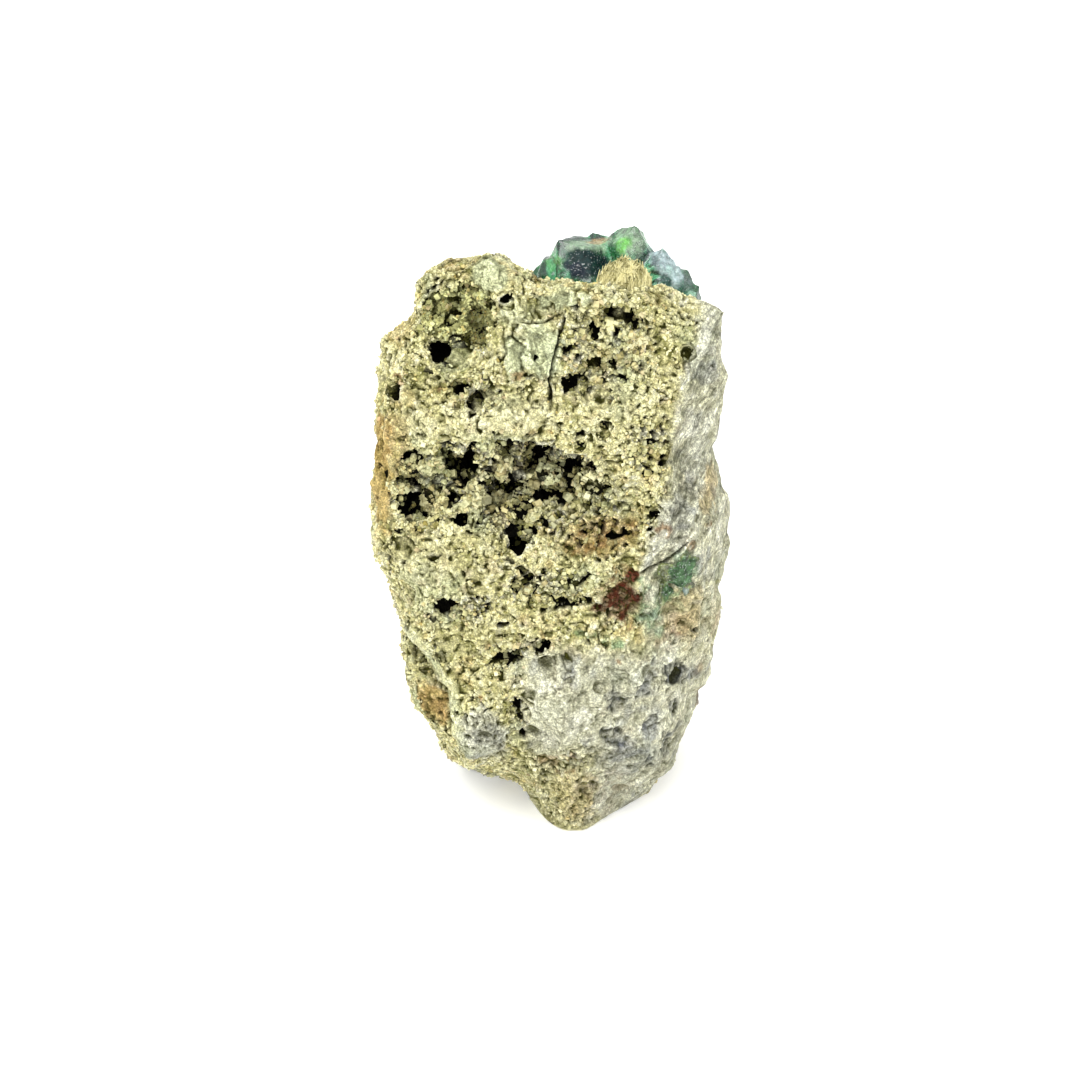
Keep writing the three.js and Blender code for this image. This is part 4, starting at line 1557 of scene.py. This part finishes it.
@dataclass
class Crystal:
    """One green body of garnet: its CAD form, finely meshed, with etched and clear places."""

    name: str
    node: str
    voxel_mm: float = 0.15
    etch_mm: float = 0.1
    frost: float = 0.42  # how much of it is etched
    leaf: float = 1.0  # how much of it is leaf green
    pale: float = 0.8  # how much of it is chalky
    patch_mm: float = 1.7
    speckle: float = 0.0  # how much darker its specks are
    lift_mm: float = 0.0  # how far its top stands above the CAD crystals
    out_of_rock: tuple[float, float, float] | None = None  # which way a crust on the rock faces
    proud_mm: float = 0.3  # how far such a crust stands out
    drawn_mm: float = 1.6  # how far it is drawn in at most
    drawn_passes: int = 8  # how often the way that each corner is drawn in is evened out
    dark_opaque: float = 0.97  # how opaque the dark marks are
    pale_opaque: float = 0.65  # and the pale ones
    ray_mm: float = 5.0  # how far off the rays start that find the rock below it

    def seated(self, mesh: bpy.types.Mesh, rock: bpy.types.Mesh) -> np.ndarray:
        """The corners of a crust, drawn in until it lies on the rock.

        Args:
            mesh: the crust.
            rock: the rock's finished mesh.

        Returns:
            Places in millimetres.
        """
        way = Vector(self.out_of_rock).normalized()
        rock_surface, own_surface = surface(rock), surface(mesh)
        drawn = np.zeros((len(mesh.vertices), 1))
        for number, corner in enumerate(mesh.vertices):
            start = corner.co + self.ray_mm * MM * way
            to_rock = rock_surface.ray_cast(start, -way)[3]
            to_crust = own_surface.ray_cast(start, -way)[3]
            if to_rock is not None and to_crust is not None:
                drawn[number] = np.clip((to_rock - to_crust) / MM - self.proud_mm, 0.0, self.drawn_mm)
        return corners(mesh) - averaged(mesh, drawn, self.drawn_passes) * np.array(way)

    def build(self, finish: bpy.types.Material, rock: bpy.types.Mesh) -> None:
        """Makes the crystal and shows it in place of its CAD node.

        Args:
            finish: what it is made of.
            rock: the rock's finished mesh.
        """
        mesh = remeshed(self.node, self.voxel_mm, 1)
        spots = self.seated(mesh, rock) if self.out_of_rock else corners(mesh)
        etching = mottle(spots, (0.9, 91), (0.4, 92), 0.6)
        spots += facings(mesh) * (self.etch_mm * (etching + 0.3))[:, None]
        spots += UPWARD * (self.lift_mm * ease(leaned(spots)[1], 25.0, 30.0))[:, None]
        spots[:, 2] = np.maximum(spots[:, 2], 0.0)
        move(mesh, spots)
        mesh.shade_smooth()
        share, tone = self.colour(spots, facings(mesh))
        paint(mesh, tone)
        keep(mesh, "frost", share)
        piece = show(self.name, mesh, finish)
        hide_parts(self.node)

    def colour(self, spots: np.ndarray, normals: np.ndarray) -> tuple[np.ndarray, np.ndarray]:
        """How etched the crystal is, and of what colour.

        Args:
            spots: places on its surface, in millimetres.
            normals: which way the surface faces there.

        Returns:
            The share that is etched, and one linear colour, for each place.
        """
        u, v, w = leaned(spots)
        patch = mottle(spots, (self.patch_mm, 93), (0.35 * self.patch_mm, 94), 0.6)
        tone = blend(np.tile(DEEP, (len(spots), 1)), LEAF, self.leaf * ease(patch, -0.5, 0.6))
        pale = mottle(spots, (0.7 * self.patch_mm, 95), (0.2 * self.patch_mm, 96), 0.6)
        tone = blend(tone, FROST, ease(pale + 0.3 * (self.pale - 0.8), 0.25, 0.9) * min(self.pale, 0.95))
        share = self.frost * (0.6 + 0.8 * ease(patch, -0.6, 0.8))
        front = ease(w, -9.0, -7.0) * ease(normals @ OUTWARD, -0.5, 0.0)
        ragged = 0.6 * drift(spots, 0.7, 97) + 0.4 * drift(spots, 0.35, 98)
        hues = {
            Kind.DEEP: DEEP,
            Kind.TEAL: TEAL,
            Kind.NAVY: NAVY,
            Kind.GLINT: GLINT,
            Kind.FROST: FROST,
            Kind.ICE: ICE * 1.25,
            Kind.TAN: TAN,
            Kind.MOSS: MOSS,
            Kind.GREEN: BOTTLE,
        }
        for mark in CREST:
            cover = mark.cover(u, v, 0.7 * ragged) * front
            tone = blend(tone, hues[mark.kind], cover)
            opaque = self.dark_opaque if mark.kind in DARK_KINDS else self.pale_opaque
            share = share + (opaque - share) * cover
        tone = tone * (1 - self.speckle * ease(drift(spots, 0.4, 99), -0.15, 0.25))[:, None]
        return np.clip(share, 0, 1), tone


@dataclass
class Garnets:
    """All the green crystals."""

    crystals: tuple[Crystal, ...] = (
        Crystal("druse", "demantoid_druse", 0.215, lift_mm=0.5),
        Crystal("crystals_edge_1", "demantoid_crystal_1"),
        Crystal("crystals_edge_2", "demantoid_crystal_2"),
        Crystal("crystals_edge_3", "demantoid_crystal_3"),
        Crystal(
            "crystals_in_rock",
            "demantoid_spot",
            0.12,
            etch_mm=0.18,
            frost=0.9,
            leaf=0.6,
            pale=0.6,
            patch_mm=0.6,
            speckle=0.6,
            out_of_rock=(0.7, -0.7, 0.1),
        ),
    )

    def build(self, rock: bpy.types.Mesh) -> None:
        """Makes every crystal.

        Args:
            rock: the rock's finished mesh.
        """
        finish = GarnetFinish().material()
        for crystal in self.crystals:
            crystal.build(finish, rock)


@dataclass
class Tuft:
    """The bundle of drooping yellow fibres below the crest crystals."""

    middle: tuple[float, float, float] = (7.3, 0.0, 57.5)
    half: tuple[float, float, float] = (2.6, 2.2, 2.4)
    count: int = 2000
    length_mm: float = 1.3
    width_mm: float = 0.14
    sunk_to: float = 0.84  # how far out the fibres start, as a share of the mound's half widths
    wavy: float = 0.2  # how much that changes in waves
    uneven: float = 0.06  # and from fibre to fibre
    fanned: float = 0.22  # how much the fibres' ways differ
    combed: float = 0.85  # how closely they lie along the mound
    shade: float = 0.85
    seed: int = 11

    def build(self) -> None:
        """Makes the fibres as one mesh."""
        dice = np.random.default_rng(self.seed)
        out = dice.normal(size=(self.count, 3)) * (1.0, 0.8, 0.9) + (0, -0.7, 0.4)
        out /= np.linalg.norm(out, axis=1)[:, None]
        wave = drift(out * 4, 1.0, 12)
        reach = self.sunk_to + self.wavy * wave + dice.uniform(-self.uneven, self.uneven, self.count)
        base = np.array(self.middle) + out * self.half * reach[:, None]
        fan = np.stack([0.5 * out[:, 0] + 0.25 * wave, 0.25 * out[:, 1], np.ones(self.count)], axis=1)
        fan += dice.normal(size=(self.count, 3)) * self.fanned
        along = fan - self.combed * np.einsum("ij,ij->i", fan, out)[:, None] * out
        along /= np.linalg.norm(along, axis=1)[:, None]
        side = np.cross(along, out)
        side /= np.linalg.norm(side, axis=1)[:, None]
        other = np.cross(along, side)
        wide = self.width_mm * dice.uniform(0.6, 1.5, self.count)
        long = self.length_mm * dice.uniform(0.5, 1.2, self.count)
        poses = np.stack([side * wide[:, None], other * wide[:, None], along * long[:, None]], axis=2)
        needle = bmesh.new()
        bmesh.ops.create_cone(needle, cap_ends=True, segments=4, radius1=0.6, radius2=0.25, depth=1.0)
        fibres = strewn(needle, poses, base)
        corners_each = len(needle.verts)
        needle.free()
        # painted shade: light follows the wave that sets how far out a fibre starts, so deeper fibres are
        # darker, with a random spread
        light = np.clip(0.5 + 0.9 * wave + 0.3 * dice.normal(size=self.count), 0, 1)
        tone = blend(np.tile(HUSK_SHADE, (self.count, 1)), FLAX, light)
        paint(fibres, np.repeat(tone * self.shade, corners_each, axis=0))
        show("tuft", fibres, GrainFinish("yellow_fibre", 0.6, 0.15).material())


# ---- Studio -----------------------------------------------------------------------------------------


@dataclass
class Studio:
    """A white floor, soft light from all around, and the camera."""

    aim_mm: tuple[float, float, float] = (-1.0, 0.0, 28.93)
    away_mm: float = 320.0
    lens_mm: float = 104.0
    floor_m: float = 4.0
    floor_white: float = 0.95
    floor_roughness: float = 0.9
    floor_shine: float = 0.1
    floor_glow: float = 0.3
    sky_strength: float = 1.05
    key_way: tuple[float, float, float] = (-0.22, -0.35, 0.9)
    key_power: float = 2.6
    key_spread: float = 1.0  # how wide the light looks, in radians

    def build(self) -> None:
        """Makes the floor, the lights and the camera."""
        self.floor()
        self.key()
        world = bpy.data.worlds.new("white_room")
        world.use_nodes = True
        sky = world.node_tree.nodes["Background"].inputs
        sky["Color"].default_value = (1, 1, 1, 1)
        sky["Strength"].default_value = self.sky_strength
        bpy.context.scene.world = world
        bpy.context.scene.view_settings.view_transform = "Standard"
        self.camera()

    def floor(self) -> None:
        """Makes the plain white floor."""
        shape = bmesh.new()
        bmesh.ops.create_grid(shape, x_segments=1, y_segments=1, size=self.floor_m / 2)
        mesh = bpy.data.meshes.new("floor")
        shape.to_mesh(mesh)
        shape.free()
        white = bpy.data.materials.new("white_paper")
        white.use_nodes = True
        paper = white.node_tree.nodes["Principled BSDF"].inputs
        paper["Base Color"].default_value = (*(self.floor_white,) * 3, 1)
        paper["Roughness"].default_value = self.floor_roughness
        paper["Specular IOR Level"].default_value = self.floor_shine
        paper["Emission Color"].default_value = (1, 1, 1, 1)
        paper["Emission Strength"].default_value = self.floor_glow
        mesh.materials.append(white)
        placed("floor", mesh)

    def key(self) -> None:
        """Makes the main light, a soft one from above and a little to the left."""
        light = bpy.data.lights.new("key", "SUN")
        light.energy = self.key_power
        light.angle = self.key_spread
        lamp = placed("key", light)
        lamp.rotation_euler = (-Vector(self.key_way)).to_track_quat("-Z", "Y").to_euler()

    def camera(self) -> None:
        """Stands the camera in front of the specimen, looking down by the lean of its front."""
        lens = bpy.data.cameras.new("camera")
        lens.lens = self.lens_mm
        lens.sensor_width = 36.0
        lens.clip_start = 0.01
        camera = placed("camera", lens)
        camera.location = (Vector(self.aim_mm) + self.away_mm * Vector(OUTWARD)) * MM
        camera.rotation_euler = (math.pi / 2 - LEAN, 0, 0)
        bpy.context.scene.camera = camera


def main() -> None:
    """Builds the pieces in order."""
    logging.basicConfig(level=logging.INFO, format="%(name)s %(message)s")
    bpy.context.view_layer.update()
    rock = RockBody()
    rock.build()
    rock.dress()
    Grains().scatter(rock)
    Garnets().build(rock.mesh)
    Tuft().build()
    Studio().build()


if __name__ == "__main__":
    main()
